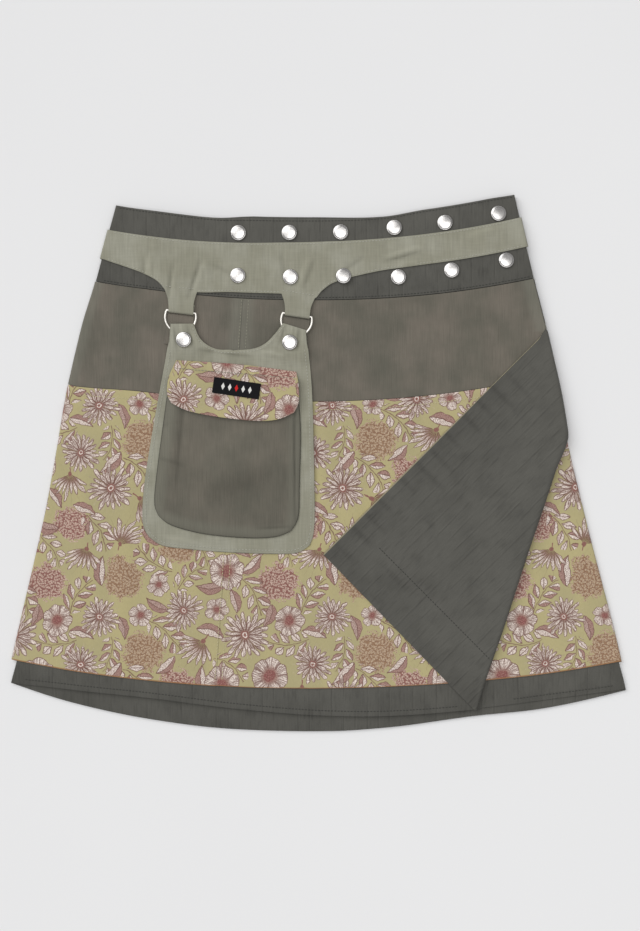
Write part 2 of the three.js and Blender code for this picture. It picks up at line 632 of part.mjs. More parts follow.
/** The board's loops, under its ears, which lie inside the rings. */
function addLoops() {
  for (const ring of RINGS) {
    const spin = radians(ring.turn);
    const place = (x, y) =>
      raised(new THREE.Vector2(x, y).rotateAround(new THREE.Vector2(), spin).add(ring), ON_FRONT);
    const rows = spread(LOOP_FOOT, LOOP_TOP, 2).map((y) =>
      spread(-LOOP_HALF, LOOP_HALF, 2).map((x) => place(x, y)),
    );
    add(`ring_loop_${ring.side}`, "taupe", wall([rows], WALL));
  }
}

/** The board's mid-surface height: flat on the skirt, and lifted over the wire at each ring. */
function boardHeight(p) {
  const lift = Math.max(...RINGS.map((ring) => {
    const away = Math.hypot(p.x - ring.x, p.y - ring.y);
    return 1 - smoothstep(away, EAR_FLAT, EAR_FLAT + EAR_RAMP);
  }));
  return lerp(ON_FRONT, OVER_RING, lift);
}

/** How far the pouch stands off its board. */
function pouchLoft(p) {
  const turned = new THREE.Vector2(p.x, p.y).sub(POUCH);
  turned.rotateAround(new THREE.Vector2(), radians(-POUCH.turn));
  const u = Math.min(1, Math.abs(turned.x) / POUCH.halfWidth);
  const v = Math.min(1, Math.abs(turned.y) / POUCH.halfLength);
  return POUCH.loft * (1 - u ** 4) * (1 - v ** 6);
}

/** The flap's mid-surface height: on the board at its seam, then up over the pouch. */
function flapHeight(p) {
  const climb = smoothstep(-p.y, -FLAP_STEP.from, -FLAP_STEP.to);
  return boardHeight(p) + WALL + LOOSE + (pouchLoft(p) + PITCH) * climb;
}

/** The pouch and its board, with the flap and the label. */
function addPocket() {
  const body = patch(BOARD_EDGES, 12, 17, boardHeight);
  const ear = (left, right) => {
    const edges = { foot: [left[0], right[0]], top: [left.at(-1), right.at(-1)], left, right };
    return patch(edges, 6, 5, boardHeight);
  };
  const leftEar = ear(LEFT_EAR.outer, LEFT_EAR.inner);
  const rightEar = ear(RIGHT_EAR.inner, RIGHT_EAR.outer);
  leftEar[0] = body.at(-1).slice(0, 7);
  rightEar[0] = body.at(-1).slice(6);
  add("pocket_board", "sage", wall([body, leftEar, rightEar], WALL));
  const pouch = patch(POUCH_EDGES, 10, 10, (p) => boardHeight(p) + PITCH + pouchLoft(p));
  add("pouch", "taupe", wall([pouch], WALL));
  add("pocket_flap", "print", wall([patch(FLAP_EDGES, 10, 8, flapHeight)], WALL));
  const spin = radians(LABEL.turn);
  const rows = spread(-LABEL.length / 2, LABEL.length / 2, 3).map((y) =>
    spread(-LABEL.width / 2, LABEL.width / 2, 6).map((x) => {
      const p = new THREE.Vector2(x, y).rotateAround(new THREE.Vector2(), spin).add(LABEL);
      return raised(p, flapHeight(p) + PITCH);
    }),
  );
  add("label", "label", wall([rows], WALL));
}

/** A snap's cap: a low dome inside a rolled rim. */
function snapCap() {
  const rim = 0.9;
  const profile = [
    [0, 0], [SNAP_RADIUS - 0.4, 0], [SNAP_RADIUS, rim], [SNAP_RADIUS - 0.7, 1.9],
    [SNAP_RADIUS - 2.2, 2.1], [SNAP_RADIUS / 2, SNAP_HEIGHT - 0.1], [0, SNAP_HEIGHT],
  ].map(([x, y]) => new THREE.Vector2(x, y));
  return new THREE.LatheGeometry(profile, 24).rotateX(Math.PI / 2);
}

/** The snap caps down the front and on the board's ears. */
function addSnaps() {
  const onBand = BAND_FRONT_TOP + GAP;
  const onBelt = onBand + WALL + LOOSE;
  const counts = { top: 0, low: 0 };
  for (const { row, angle, radius, on } of SNAPS) {
    counts[row] += 1;
    const p = polar(angle, radius);
    const base = on === "belt" ? onBelt : onBand;
    add(`snap_${row}_${counts[row]}`, "nickel", snapCap(), [p.x, p.y, base]);
  }
  for (const { side, x, y } of EAR_SNAPS) {
    add(`snap_ear_${side}`, "nickel", snapCap(), [x, y, OVER_RING + WALL / 2 + GAP]);
  }
}

addBack();
addUnderlap();
addFront();
addWaistband();
addBelt();
addRings();
addLoops();
addPocket();
addSnaps();

skirt.traverse((mesh) => {
  if (!mesh.isMesh) return;
  mesh.geometry.deleteAttribute("uv").deleteAttribute("normal");
  mesh.geometry = mergeVertices(mesh.geometry, 1e-3);
});

export default skirt;
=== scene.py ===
"""A reversible wrap skirt, laid flat with its front up and one front corner folded back.

The tables and formulas are in millimetres, +X to the wearer's left, +Y to the waist and +Z up.
Lengths become metres where a mesh or a material is made. Every cloth piece is a shell with an
even thickness and a rounded edge, on a grid of points of its mid-surface.
"""
import logging
import math
from dataclasses import dataclass, field
from enum import Enum
from functools import partial
from typing import Any, Callable, NamedTuple, Sequence

import bpy
import numpy as np
from numpy.typing import NDArray
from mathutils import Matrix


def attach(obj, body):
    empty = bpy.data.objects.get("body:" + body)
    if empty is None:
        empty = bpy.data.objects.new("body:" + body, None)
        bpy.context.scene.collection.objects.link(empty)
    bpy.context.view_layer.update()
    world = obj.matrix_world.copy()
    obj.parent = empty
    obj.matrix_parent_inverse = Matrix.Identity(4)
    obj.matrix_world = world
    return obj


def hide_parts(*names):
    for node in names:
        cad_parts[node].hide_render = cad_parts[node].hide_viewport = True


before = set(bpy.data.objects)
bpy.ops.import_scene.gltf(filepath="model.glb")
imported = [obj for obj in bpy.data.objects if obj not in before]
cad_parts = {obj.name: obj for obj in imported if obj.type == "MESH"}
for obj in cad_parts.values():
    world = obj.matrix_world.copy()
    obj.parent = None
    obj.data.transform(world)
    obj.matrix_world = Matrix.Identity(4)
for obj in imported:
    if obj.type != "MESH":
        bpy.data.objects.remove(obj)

Array = NDArray[np.float64]
Faces = NDArray[np.int64]
AlongAngle = Callable[[Array], Array]
Colour = tuple[float, float, float]
PlanePoint = tuple[float, float]

MM = 0.001
LOG = logging.getLogger("wrap_skirt")


# ---- Numbers ----


def smoothstep(value: Array | float, low: float, high: float) -> Array:
    """0 up to low, 1 from high on, and the cubic 3t^2 - 2t^3 of the share t between them."""
    t = np.clip((np.asarray(value, float) - low) / (high - low), 0.0, 1.0)
    return t * t * (3.0 - 2.0 * t)


def lerp(a: Array | float, b: Array | float, t: Array | float) -> Array:
    """The value a share t of the way from a to b."""
    return a + (b - a) * np.asarray(t, float)


def steps(length: float, spacing: float) -> Array:
    """Even shares from 0 to 1 that divide a length into stretches of about one spacing."""
    return np.linspace(0.0, 1.0, max(2, round(length / spacing)) + 1)


def raised(plane: Array, height: Array | float) -> Array:
    """Plane points with a height as their third number."""
    heights = np.broadcast_to(height, plane.shape[:-1])
    return np.concatenate([plane, heights[..., None]], axis=-1)


class Table:
    """Rows of numbers under named columns, read along one column by a smooth curve."""

    def __init__(self, names: str, *rows: tuple[float, ...]) -> None:
        """Args:
            names: the columns' names, with spaces between them.
            rows: one number for each column, in rising order of the column it is read along.
        """
        self.columns = dict(zip(names.split(), np.array(rows, float).T))

    def at(self, key: str, column: str, place: Array | float) -> Array:
        """A column's value where another has a given value.

        The curve is a cubic between rows. Its slope at a row is the harmonic mean of the slopes
        on both sides, or 0 at a high or low point, so that it never overshoots.

        Args:
            key: the column that is read along.
            column: the column wanted.
            place: where on the key column, held within its ends.

        Returns:
            The values, in place's shape.
        """
        x, y = self.columns[key], self.columns[column]
        width = np.diff(x)
        slope = np.diff(y) / width
        before, after = slope[:-1], slope[1:]
        same = before * after > 0
        safe_before, safe_after = np.where(same, before, 1.0), np.where(same, after, 1.0)
        mean = 2.0 / (1.0 / safe_before + 1.0 / safe_after)
        tangent = np.concatenate([slope[:1], np.where(same, mean, 0.0), slope[-1:]])
        place = np.clip(np.asarray(place, float), x[0], x[-1])
        i = np.clip(np.searchsorted(x, place) - 1, 0, len(width) - 1)
        t = (place - x[i]) / width[i]
        rise = t * t * (3.0 - 2.0 * t)
        ease_out = t * (1.0 - t) ** 2
        ease_in = -t * t * (1.0 - t)
        bend = width[i] * (ease_out * tangent[i] + ease_in * tangent[i + 1])
        return lerp(y[i], y[i + 1], rise) + bend


# ---- The skirt's plan ----

APEX = (-5.3, 1090.76)  # centre of the sector that the skirt is cut as
LEFT_SIDE = -12.41  # the side folds, in degrees from straight down
RIGHT_SIDE = 12.79
SEAM_TURN = math.degrees(0.02 / 1000)  # half the front seam's gap, as an angle
SIDE_INSET = 2.45  # from a side's outline to the centre of the panels' fold
BAND_INSET = 0.9  # and to the waistband's ends
BELT_INSET = 1.1  # and to the centre of the belt's fold
BELT_REACH = 1.4  # how far the belt's mid-surface goes out round the waistband's ends
FRONT_SEAM = -4.04  # the seam down the front
UNDERLAP_EDGE = -9.5  # free edge of the hidden underlap
UNDERLAP_RAMP = 2.3  # degrees over which the front steps up onto the underlap

# Radii of the long edges, by angle: the waistband's two edges and the seam of yoke and print.
EDGES = Table(
    "angle band_top back_top band_foot yoke_foot",
    (-12.41, 866.5, 866.5, 941.0, 1042.0),
    (-9.0, 864.2, 863.8, 938.6, 1035.4),
    (-6.2, 863.4, 862.6, 937.4, 1033.9),
    (-3.6, 860.6, 858.2, 936.7, 1032.9),
    (0.0, 859.4, 857.2, 936.0, 1032.0),
    (4.4, 859.8, 859.2, 936.9, 1032.0),
    (7.2, 857.0, 856.6, 937.6, 1032.0),
    (11.0, 856.6, 856.6, 938.5, 1032.0),
    (12.79, 857.9, 857.9, 939.0, 1032.0),
)

# How far each side bulges out beyond its straight line, by radius.
SIDES = Table(
    "radius left right",
    (866.0, 1.1, 1.6),
    (903.0, 2.9, 1.7),
    (941.0, 4.4, 2.0),
    (991.0, 8.0, 1.0),
    (1042.0, 8.6, 0.6),
    (1108.0, 5.7, -1.6),
    (1175.0, 3.6, -0.8),
    (1308.0, 4.9, 2.6),
    (1328.0, 0.5, 0.6),
)

# Radii of the hems, by angle: the print's, the front's dark hem and the back's.
HEMS = Table(
    "angle print front back",
    (-12.41, 1308.0, 1330.0, 1330.0),
    (-10.0, 1307.0, 1325.0, 1336.7),
    (-6.7, 1305.5, 1322.0, 1342.0),
    (-3.2, 1304.5, 1325.0, 1344.7),
    (0.7, 1304.0, 1330.0, 1344.7),
    (3.0, 1304.5, 1332.0, 1343.0),
    (6.6, 1307.0, 1333.0, 1339.0),
    (9.4, 1309.5, 1334.0, 1341.0),
    (12.79, 1312.0, 1338.6, 1339.0),
)

# The fold of the turned-back corner: its angle, and how far along the corner's free edge the
# cloth at that radius ends up.
FOLD = Table(
    "radius angle reach",
    (930.0, 12.87, 0.0),
    (990.7, 12.96, 7.0),
    (1032.0, 12.96, 79.0),
    (1088.0, 12.82, 118.0),
    (1122.0, 11.8, 141.0),
    (1199.0, 9.67, 194.0),
    (1270.0, 8.0, 243.0),
    (1308.0, 7.15, 270.0),
    (1333.0, 6.67, 297.0),
)
FOLD_START = 990.7  # radius where the front's free edge turns back
FOLD_END = 1333.0
CORNER_TOP = np.array([214.4, 124.2])  # ends of the folded corner's free edge
CORNER_TIP = np.array([4.6, -85.4])

# The belt over the waistband: radii of its edges, by angle. Its foot runs down to two tabs.
BELT = Table(
    "angle top foot",
    (-12.41, 890.8, 919.2),
    (-10.45, 889.6, 923.5),
    (-9.26, 888.8, 928.8),
    (-8.77, 888.5, 934.0),
    (-8.61, 888.4, 936.6),
    (-6.72, 886.8, 935.4),
    (-4.6, 884.9, 931.9),
    (-1.83, 882.3, 930.8),
    (0.12, 881.3, 934.6),
    (0.5, 881.1, 928.0),
    (1.19, 880.9, 920.3),
    (2.48, 880.7, 914.7),
    (4.68, 880.4, 910.0),
    (7.19, 880.3, 908.8),
    (12.79, 880.3, 908.6),
)


def polar(angle: Array | float, radius: Array | float) -> Array:
    """Plane points from angles (degrees from straight down) and radii about the apex."""
    turn = np.radians(angle)
    across, down = radius * np.sin(turn), radius * np.cos(turn)
    return np.stack(np.broadcast_arrays(APEX[0] + across, APEX[1] - down), axis=-1)


def to_polar(plane: Array) -> tuple[Array, Array]:
    """Angles and radii about the apex of plane points."""
    across, down = plane[..., 0] - APEX[0], APEX[1] - plane[..., 1]
    return np.degrees(np.arctan2(across, down)), np.hypot(across, down)


def radius_in(table: Table, column: str, shift: float = 0.0) -> AlongAngle:
    """The radius in a column of a table, moved down by a shift, as a function of the angle."""
    return lambda angle: table.at("angle", column, angle) + shift


edge, hem, belt_edge = (partial(radius_in, table) for table in (EDGES, HEMS, BELT))


class Side(Enum):
    """A side of the skirt: its angle, its column among the bulges, and its sign along X."""

    LEFT = (LEFT_SIDE, "left", -1)
    RIGHT = (RIGHT_SIDE, "right", 1)

    def __init__(self, angle: float, column: str, sign: int) -> None:
        """Names the three values."""
        self.angle, self.column, self.sign = angle, column, sign

    @property
    def outward(self) -> Array:
        """Unit direction out of the skirt."""
        turn = math.radians(self.angle)
        return np.array([math.cos(turn), math.sin(turn)]) * self.sign

    def out_by(self, radius: Array | float, past: Array | float) -> Array:
        """The angle that lies out from the side's straight line by a distance, at a radius."""
        return self.angle + self.sign * np.degrees(past / radius)

    def inside(self, radius: Array | float, inset: Array | float) -> Array:
        """The angle that lies in from the bulging outline by an inset, at a radius."""
        return self.out_by(radius, SIDES.at("radius", self.column, radius) - inset)

    def dark(self, radius: Array | float) -> Array:
        """The dark side's edge: inside the print's side folds, and the outline at the hem."""
        folded = SIDES.at("radius", self.column, radius) - SIDE_INSET
        hem_line = lerp(-0.4, 0.4, smoothstep(radius, 1308.0, 1330.0))
        return self.out_by(radius, lerp(folded, hem_line, smoothstep(radius, 1290.0, 1307.0)))


def underlap_lift(angle: Array | float) -> Array:
    """How far the front is lifted by the two plies of the underlap beneath it."""
    return 2.0 * STACK.pitch * smoothstep(angle, UNDERLAP_EDGE - UNDERLAP_RAMP, UNDERLAP_EDGE)


def even(height: float) -> AlongAngle:
    """A surface at the same height at every angle."""
    return lambda angle: np.full_like(angle, height)


def lifted(height: float) -> AlongAngle:
    """A surface of the front, which steps up onto the underlap from its height at the left."""
    return lambda angle: height + underlap_lift(angle)


@dataclass(frozen=True)
class Stack:
    """Heights of the plies, each a wall with a gap above it, and of what lies over them."""

    wall: float = 1.0
    gap: float = 0.3
    band_wall: float = 2.0
    loose: float = 0.7
    ring_wire: float = 1.8

    @property
    def pitch(self) -> float:
        """From one ply to the next."""
        return self.wall + self.gap

    def ply(self, number: float) -> float:
        """The mid-surface height of a ply, counted from 0 on the table."""
        return number * self.pitch + self.wall / 2

    @property
    def side_middle(self) -> float:
        """The height that the panels' side folds turn about."""
        return 1.5 * self.pitch + self.wall / 2

    @property
    def band_back(self) -> float:
        """The mid-surface of the waistband's back length."""
        return self.pitch + self.band_wall / 2

    @property
    def band_front(self) -> float:
        """The mid-surface of the waistband's front length, off the underlap."""
        return self.band_back + self.band_wall + self.gap

    @property
    def front_top(self) -> float:
        """The upper face of the front, over the underlap."""
        return self.ply(5) + self.wall / 2

    @property
    def on_front(self) -> float:
        """The mid-surface of a ply lying on the front."""
        return self.front_top + self.gap + self.wall / 2

    @property
    def ring(self) -> float:
        """The centre of the D-rings' wire."""
        return self.on_front + self.wall / 2 + self.gap + self.ring_wire / 2

    @property
    def over_ring(self) -> float:
        """The mid-surface of a ply lying over a ring's wire."""
        return self.ring + self.ring_wire / 2 + self.gap + self.wall / 2

    def belt(self, angle: Array | float) -> Array:
        """The belt's mid-surface over the front waistband, by angle."""
        over = self.band_wall / 2 + self.loose + self.wall / 2
        return self.band_front + over + underlap_lift(angle)


STACK = Stack()
HALF_GAP = STACK.gap / 2
YOKE_TOP, YOKE_FOOT = edge("band_foot", HALF_GAP), edge("yoke_foot", -HALF_GAP)
PRINT_TOP = edge("yoke_foot", HALF_GAP)


# ---- Soft relief ----


class Relief:
    """Soft ridges along straight lines, and troughs where a height is negative."""

    def __init__(self, *creases: tuple[float, ...]) -> None:
        """Args:
            creases: x and y of the start, x and y of the end, height and width of each.
        """
        self.creases = creases

    def at(self, plane: Array) -> Array:
        """The summed height at plane points.

        Across a line it is a bell, height times exp(-(distance / width)^2), and towards both
        ends of the line it fades with the sine of the share along it.
        """
        total = np.zeros(plane.shape[:-1])
        for *ends, height, width in self.creases:
            start, along = np.array(ends[:2]), np.array(ends[2:]) - np.array(ends[:2])
            length = np.hypot(*along)
            ahead = along / length
            x, y = plane[..., 0] - start[0], plane[..., 1] - start[1]
            fade = np.sin(np.pi * np.clip((x * ahead[0] + y * ahead[1]) / length, 0.0, 1.0)) ** 0.7
            aside = x * ahead[1] - y * ahead[0]
            total = total + height * np.exp(-((aside / width) ** 2)) * fade
        return total


# Waves of the whole skirt, which lift every ply above the table in proportion to its height.
WAVES = Relief(
    (-215, 60, -240, -215, 2.2, 12),
    (-178, 20, -190, -220, 1.7, 10),
    (-60, -90, -66, -232, 1.9, 13),
    (8, 110, -2, -150, 1.5, 10),
    (44, 96, 30, -70, 1.7, 9),
    (92, 120, 84, 10, 1.4, 10),
    (150, 140, 158, 60, 1.5, 8),
    (232, 0, 262, -170, 1.9, 9),
    (196, -110, 206, -215, 1.8, 8),
    (-10, -150, -6, -230, 1.4, 9),
    (28, 152, 120, 160, 1.3, 5),
    (60, 132, 170, 150, 1.1, 7),
    (-230, 150, -190, 110, 1.2, 8),
    (-100, 150, -60, 132, 0.9, 6),
)


def waved(points: Array) -> Array:
    """Points lifted by the skirt's waves: fully at the front and above it, not at all below."""
    share = np.clip(points[..., 2] / STACK.front_top, 0.0, 1.0)
    moved = points.copy()
    moved[..., 2] += WAVES.at(points[..., :2]) * share
    return moved


# ---- Meshes ----

FAR = 50.0  # stands for a distance from an edge that has no effect
# relief is the creases' height, from which the finishes paint shade into the troughs
MARKS = ("to_foot", "to_side", "relief")


@dataclass
class Grid:
    """A rectangular net of a cloth's mid-surface points.

    points holds their places, cloth their places on the flat cloth, to_foot and to_side how far
    each is from the cloth's foot and from its nearer side edge, and relief the height of the
    creases there, from which the finishes paint shade into the troughs. On the turned-back
    corner relief is below 0 along the puckers, as their painted shade.
    """

    points: Array
    cloth: Array
    to_foot: Array | float = FAR
    to_side: Array | float = FAR
    relief: Array | float = 0.0

    def marks(self) -> Array:
        """The last three values at every point, a row to each."""
        shape = self.points.shape[:2]
        return np.stack([np.broadcast_to(getattr(self, key), shape).ravel() for key in MARKS])

    def quads(self, first: int) -> Faces:
        """The net's four-cornered faces, for points numbered row by row from first."""
        rows, columns = self.points.shape[:2]
        number = first + np.arange(rows * columns).reshape(rows, columns)
        corners = (number[:-1, :-1], number[1:, :-1], number[1:, 1:], number[:-1, 1:])
        return np.stack(corners, axis=-1).reshape(-1, 4)

    def area(self) -> float:
        """The surface's area in square metres, from the diagonals of its faces."""
        p = self.points
        one, other = p[1:, 1:] - p[:-1, :-1], p[1:, :-1] - p[:-1, 1:]
        return float(np.linalg.norm(np.cross(one, other), axis=-1).sum() / 2) * MM * MM


def unit(vectors: Array) -> Array:
    """Vectors brought to length 1, where they have any length."""
    return vectors / np.maximum(np.linalg.norm(vectors, axis=-1, keepdims=True), 1e-12)


def to_rim(plane: Array) -> Array:
    """How far each point of a net is from its first and last columns and its last row."""
    edges = (plane[:, :1], plane[:, -1:], plane[-1:])
    return np.minimum.reduce([np.linalg.norm(plane - side, axis=-1) for side in edges])


def make_object(
    name: str, points: Array, faces: Sequence[Sequence[int]] | NDArray[np.int64]
) -> bpy.types.Object:
    """A smooth-shaded mesh object at the origin.

    Args:
        name: the piece's name.
        points: its vertices, in millimetres.
        faces: the vertex numbers of each face.

    Returns:
        The object, in the scene's collection.
    """
    mesh = bpy.data.meshes.new(name)
    if isinstance(faces, np.ndarray):
        count, corners = faces.shape
        mesh.vertices.add(len(points))
        mesh.vertices.foreach_set("co", (points * MM).ravel().astype(np.float32))
        mesh.loops.add(faces.size)
        mesh.loops.foreach_set("vertex_index", faces.ravel().astype(np.int32))
        mesh.polygons.add(count)
        mesh.polygons.foreach_set("loop_start", np.arange(count, dtype=np.int32) * corners)
    else:
        mesh.from_pydata((points * MM).tolist(), [], faces)
    mesh.update(calc_edges=True)
    mesh.validate()
    mesh.shade_smooth()
    made = bpy.data.objects.new(name, mesh)
    bpy.context.scene.collection.objects.link(made)
    return made


def shell(name: str, grids: Sequence[Grid], wall: float) -> bpy.types.Object:
    """A cloth piece: a closed shell of even thickness with a half-round edge.

    Points that grids share are joined. Each point gives one vertex half the thickness out along
    the surface's normal and one half the thickness in. At the free edges the mid-surface is
    drawn back by half the thickness, and three rings of vertices go round from the upper face
    to the lower one: 0.8 of the half out and up, the half straight out, and 0.8 out and down.

    Args:
        name: the piece's name.
        grids: the nets that make up its mid-surface.
        wall: its thickness in millimetres.

    Returns:
        The object, with a UV map "cloth" and the values named in MARKS, in metres.
    """
    firsts = np.cumsum([0] + [g.points[..., 0].size for g in grids[:-1]])
    quads = np.concatenate([g.quads(first) for g, first in zip(grids, firsts)])
    points = np.concatenate([g.points.reshape(-1, 3) for g in grids])
    cloth = np.concatenate([g.cloth.reshape(-1, 2) for g in grids])
    marks = np.concatenate([g.marks() for g in grids], axis=1)
    near = np.round(points, 3)
    _, kept, number = np.unique(near, axis=0, return_index=True, return_inverse=True)
    quads = number.ravel()[quads]
    points, cloth, marks = points[kept], cloth[kept], marks[:, kept]
    a, b, c, d = (points[quads[:, n]] for n in range(4))
    across = np.cross(c - a, d - b)
    count = len(points)
    normals = np.zeros((count, 3))
    for corner in range(4):
        np.add.at(normals, quads[:, corner], across)
    normals = unit(normals)

    start = quads.ravel()
    end = np.roll(quads, -1, axis=1).ravel()
    free = ~np.isin(start * count + end, end * count + start)
    start, end = start[free], end[free]
    outward = np.zeros((count, 3))
    along = points[end] - points[start]
    for ends in (start, end):
        np.add.at(outward, ends, unit(np.cross(along, normals[ends])))
    rim = np.unique(start)
    outward = unit(outward[rim])
    half = wall / 2
    points[rim] -= outward * half

    out, up = (np.array(v)[:, None, None] * half for v in ((0.8, 1.0, 0.8), (0.8, 0.0, -0.8)))
    ring = (points[rim] + out * outward + up * normals[rim]).reshape(-1, 3)
    vertices = np.concatenate([points + normals * half, points - normals * half, ring])
    place = np.zeros(count, np.int64)
    place[rim] = np.arange(len(rim))
    rounds = [lambda i, k=k: 2 * count + k * len(rim) + place[i] for k in range(3)]
    levels = [lambda i: i, *rounds, lambda i: i + count]
    sides = [
        np.stack([upper(end), upper(start), lower(start), lower(end)], axis=-1)
        for upper, lower in zip(levels[:-1], levels[1:])
    ]
    made = make_object(name, vertices, np.concatenate([quads, quads[:, ::-1] + count, *sides]))
    made.data.set_sharp_from_angle(angle=math.radians(40.0))
    source = np.concatenate([np.arange(count), np.arange(count), np.tile(rim, 3)])
    corners = np.zeros(len(made.data.loops), np.int32)
    made.data.loops.foreach_get("vertex_index", corners)
    flat = (cloth[source[corners]] * MM).ravel().astype(np.float32)
    made.data.uv_layers.new(name="cloth").data.foreach_set("uv", flat)
    for key, values in zip(MARKS, marks):
        attribute = made.data.attributes.new(key, "FLOAT", "POINT")
        attribute.data.foreach_set("value", (values[source] * MM).astype(np.float32))
    return made


def tube(name: str, path: Array, radius: float, sides: int = 16) -> bpy.types.Object:
    """Round wire along a closed path in a level plane.

    Each path point has a circle of vertices, out by radius times the cosine and up by radius
    times the sine of the angle round the wire.

    Args:
        name: the piece's name.
        path: the closed centre line, one row to a point.
        radius: of the wire.
        sides: vertices round the wire.

    Returns:
        The object.
    """
    along = unit(np.roll(path, -1, axis=0) - np.roll(path, 1, axis=0))
    out = np.stack([along[:, 1], -along[:, 0], np.zeros(len(path))], axis=-1)
    angle = np.linspace(0.0, 2 * np.pi, sides, endpoint=False)
    up = np.array([0.0, 0.0, 1.0])
    circle = np.cos(angle)[None, :, None] * out[:, None] + np.sin(angle)[None, :, None] * up
    points = (path[:, None] + radius * circle).reshape(-1, 3)
    i, k = np.arange(len(path))[:, None], np.arange(sides)[None, :]
    here, following = i * sides, (i + 1) % len(path) * sides
    beside = (k + 1) % sides
    corners = (here + k, following + k, following + beside, here + beside)
    return make_object(name, points, np.stack(corners, axis=-1).reshape(-1, 4))


def walls(rings: int, sides: int) -> Faces:
    """Four-cornered faces between rings of vertices that are numbered ring by ring."""
    i, k = np.arange(rings - 1)[:, None] * sides, np.arange(sides)[None, :]
    beside = (k + 1) % sides
    return np.stack([i + k, i + beside, i + sides + beside, i + sides + k], axis=-1).reshape(-1, 4)


def lathe(profile: Array, sides: int) -> tuple[Array, list[list[int]]]:
    """A turned solid about the Z axis.

    Args:
        profile: radius and height of each point, from the foot's centre round to the top's.
        sides: columns of faces round the axis.

    Returns:
        Its vertices and faces. Its first and last profile points lie on the axis.
    """
    angle = np.linspace(0.0, 2 * np.pi, sides, endpoint=False)
    rings = profile[1:-1]
    turned = rings[:, :1, None] * np.stack([np.cos(angle), np.sin(angle)], axis=-1)
    level = raised(turned, rings[:, 1:]).reshape(-1, 3)
    ends = np.array([[0.0, 0.0, profile[0, 1]], [0.0, 0.0, profile[-1, 1]]])
    last = (len(rings) - 1) * sides
    foot = [[len(level), (n + 1) % sides, n] for n in range(sides)]
    top = [[len(level) + 1, last + n, last + (n + 1) % sides] for n in range(sides)]
    return np.concatenate([level, ends]), [*walls(len(rings), sides).tolist(), *foot, *top]


# ---- Finishes ----


class Ink:
    """A value in a finish's nodes. Arithmetic on it adds Math nodes."""

    def __init__(self, recipe: "Recipe", socket: bpy.types.NodeSocket) -> None:
        """Args:
            recipe: the finish being made.
            socket: the output that gives the value.
        """
        self.recipe, self.socket = recipe, socket

    def math(self, operation: str, *others: "Ink | float", clamp: bool = False) -> "Ink":
        """A Math node with this value first."""
        settings = {"operation": operation, "use_clamp": clamp}
        return self.recipe.value("ShaderNodeMath", settings, dict(enumerate((self, *others))))

    def __add__(self, other: "Ink | float") -> "Ink":
        """The sum."""
        return self.math("ADD", other)

    def __sub__(self, other: "Ink | float") -> "Ink":
        """The difference."""
        return self.math("SUBTRACT", other)

    def __rsub__(self, other: float) -> "Ink":
        """A number less this value."""
        return self.math("MULTIPLY_ADD", -1.0, other)

    def __mul__(self, other: "Ink | float") -> "Ink":
        """The product."""
        return self.math("MULTIPLY", other)

    def __truediv__(self, other: "Ink | float") -> "Ink":
        """The quotient."""
        return self.math("DIVIDE", other)

    def __pow__(self, other: float) -> "Ink":
        """The power."""
        return self.math("POWER", other)

    def __abs__(self) -> "Ink":
        """The size without its sign."""
        return self.math("ABSOLUTE")

    __radd__, __rmul__ = __add__, __mul__

    def fraction(self) -> "Ink":
        """What is left above the whole number below."""
        return self.math("FRACT")

    def cell(self) -> tuple["Ink", "Ink"]:
        """The whole number below, and how far the value is from the middle of its step."""
        which = self.math("FLOOR")
        return which, abs(self - which - 0.5)

    def least(self, other: "Ink | float") -> "Ink":
        """The smaller of two."""
        return self.math("MINIMUM", other)

    def most(self, other: "Ink | float") -> "Ink":
        """The larger of two."""
        return self.math("MAXIMUM", other)

    def soft(self, width: float) -> "Ink":
        """0 where the value is negative, 1 where positive, with a soft step of this width."""
        return self.math("MULTIPLY_ADD", 1.0 / width, 0.5, clamp=True)

    def above(self, limit: "Ink | float", width: float) -> "Ink":
        """1 above a limit and 0 below it, with a soft step of this width."""
        return (self - limit).soft(width)

    def below(self, limit: "Ink | float", width: float) -> "Ink":
        """1 below a limit and 0 above it, with a soft step of this width."""
        return (limit - self).soft(width)

    def fade(self, low: float, high: float, start: float = 0.0, end: float = 1.0) -> "Ink":
        """From start at low to end at high, smoothly, and level beyond them."""
        settings = {"interpolation_type": "SMOOTHSTEP"}
        inputs = {0: self, 1: low, 2: high, 3: start, 4: end}
        return self.recipe.value("ShaderNodeMapRange", settings, inputs)


def rgba(colour: Ink | Colour) -> Ink | tuple:
    """A colour as a colour socket takes it."""
    return colour if isinstance(colour, Ink) else (*colour, 1.0)


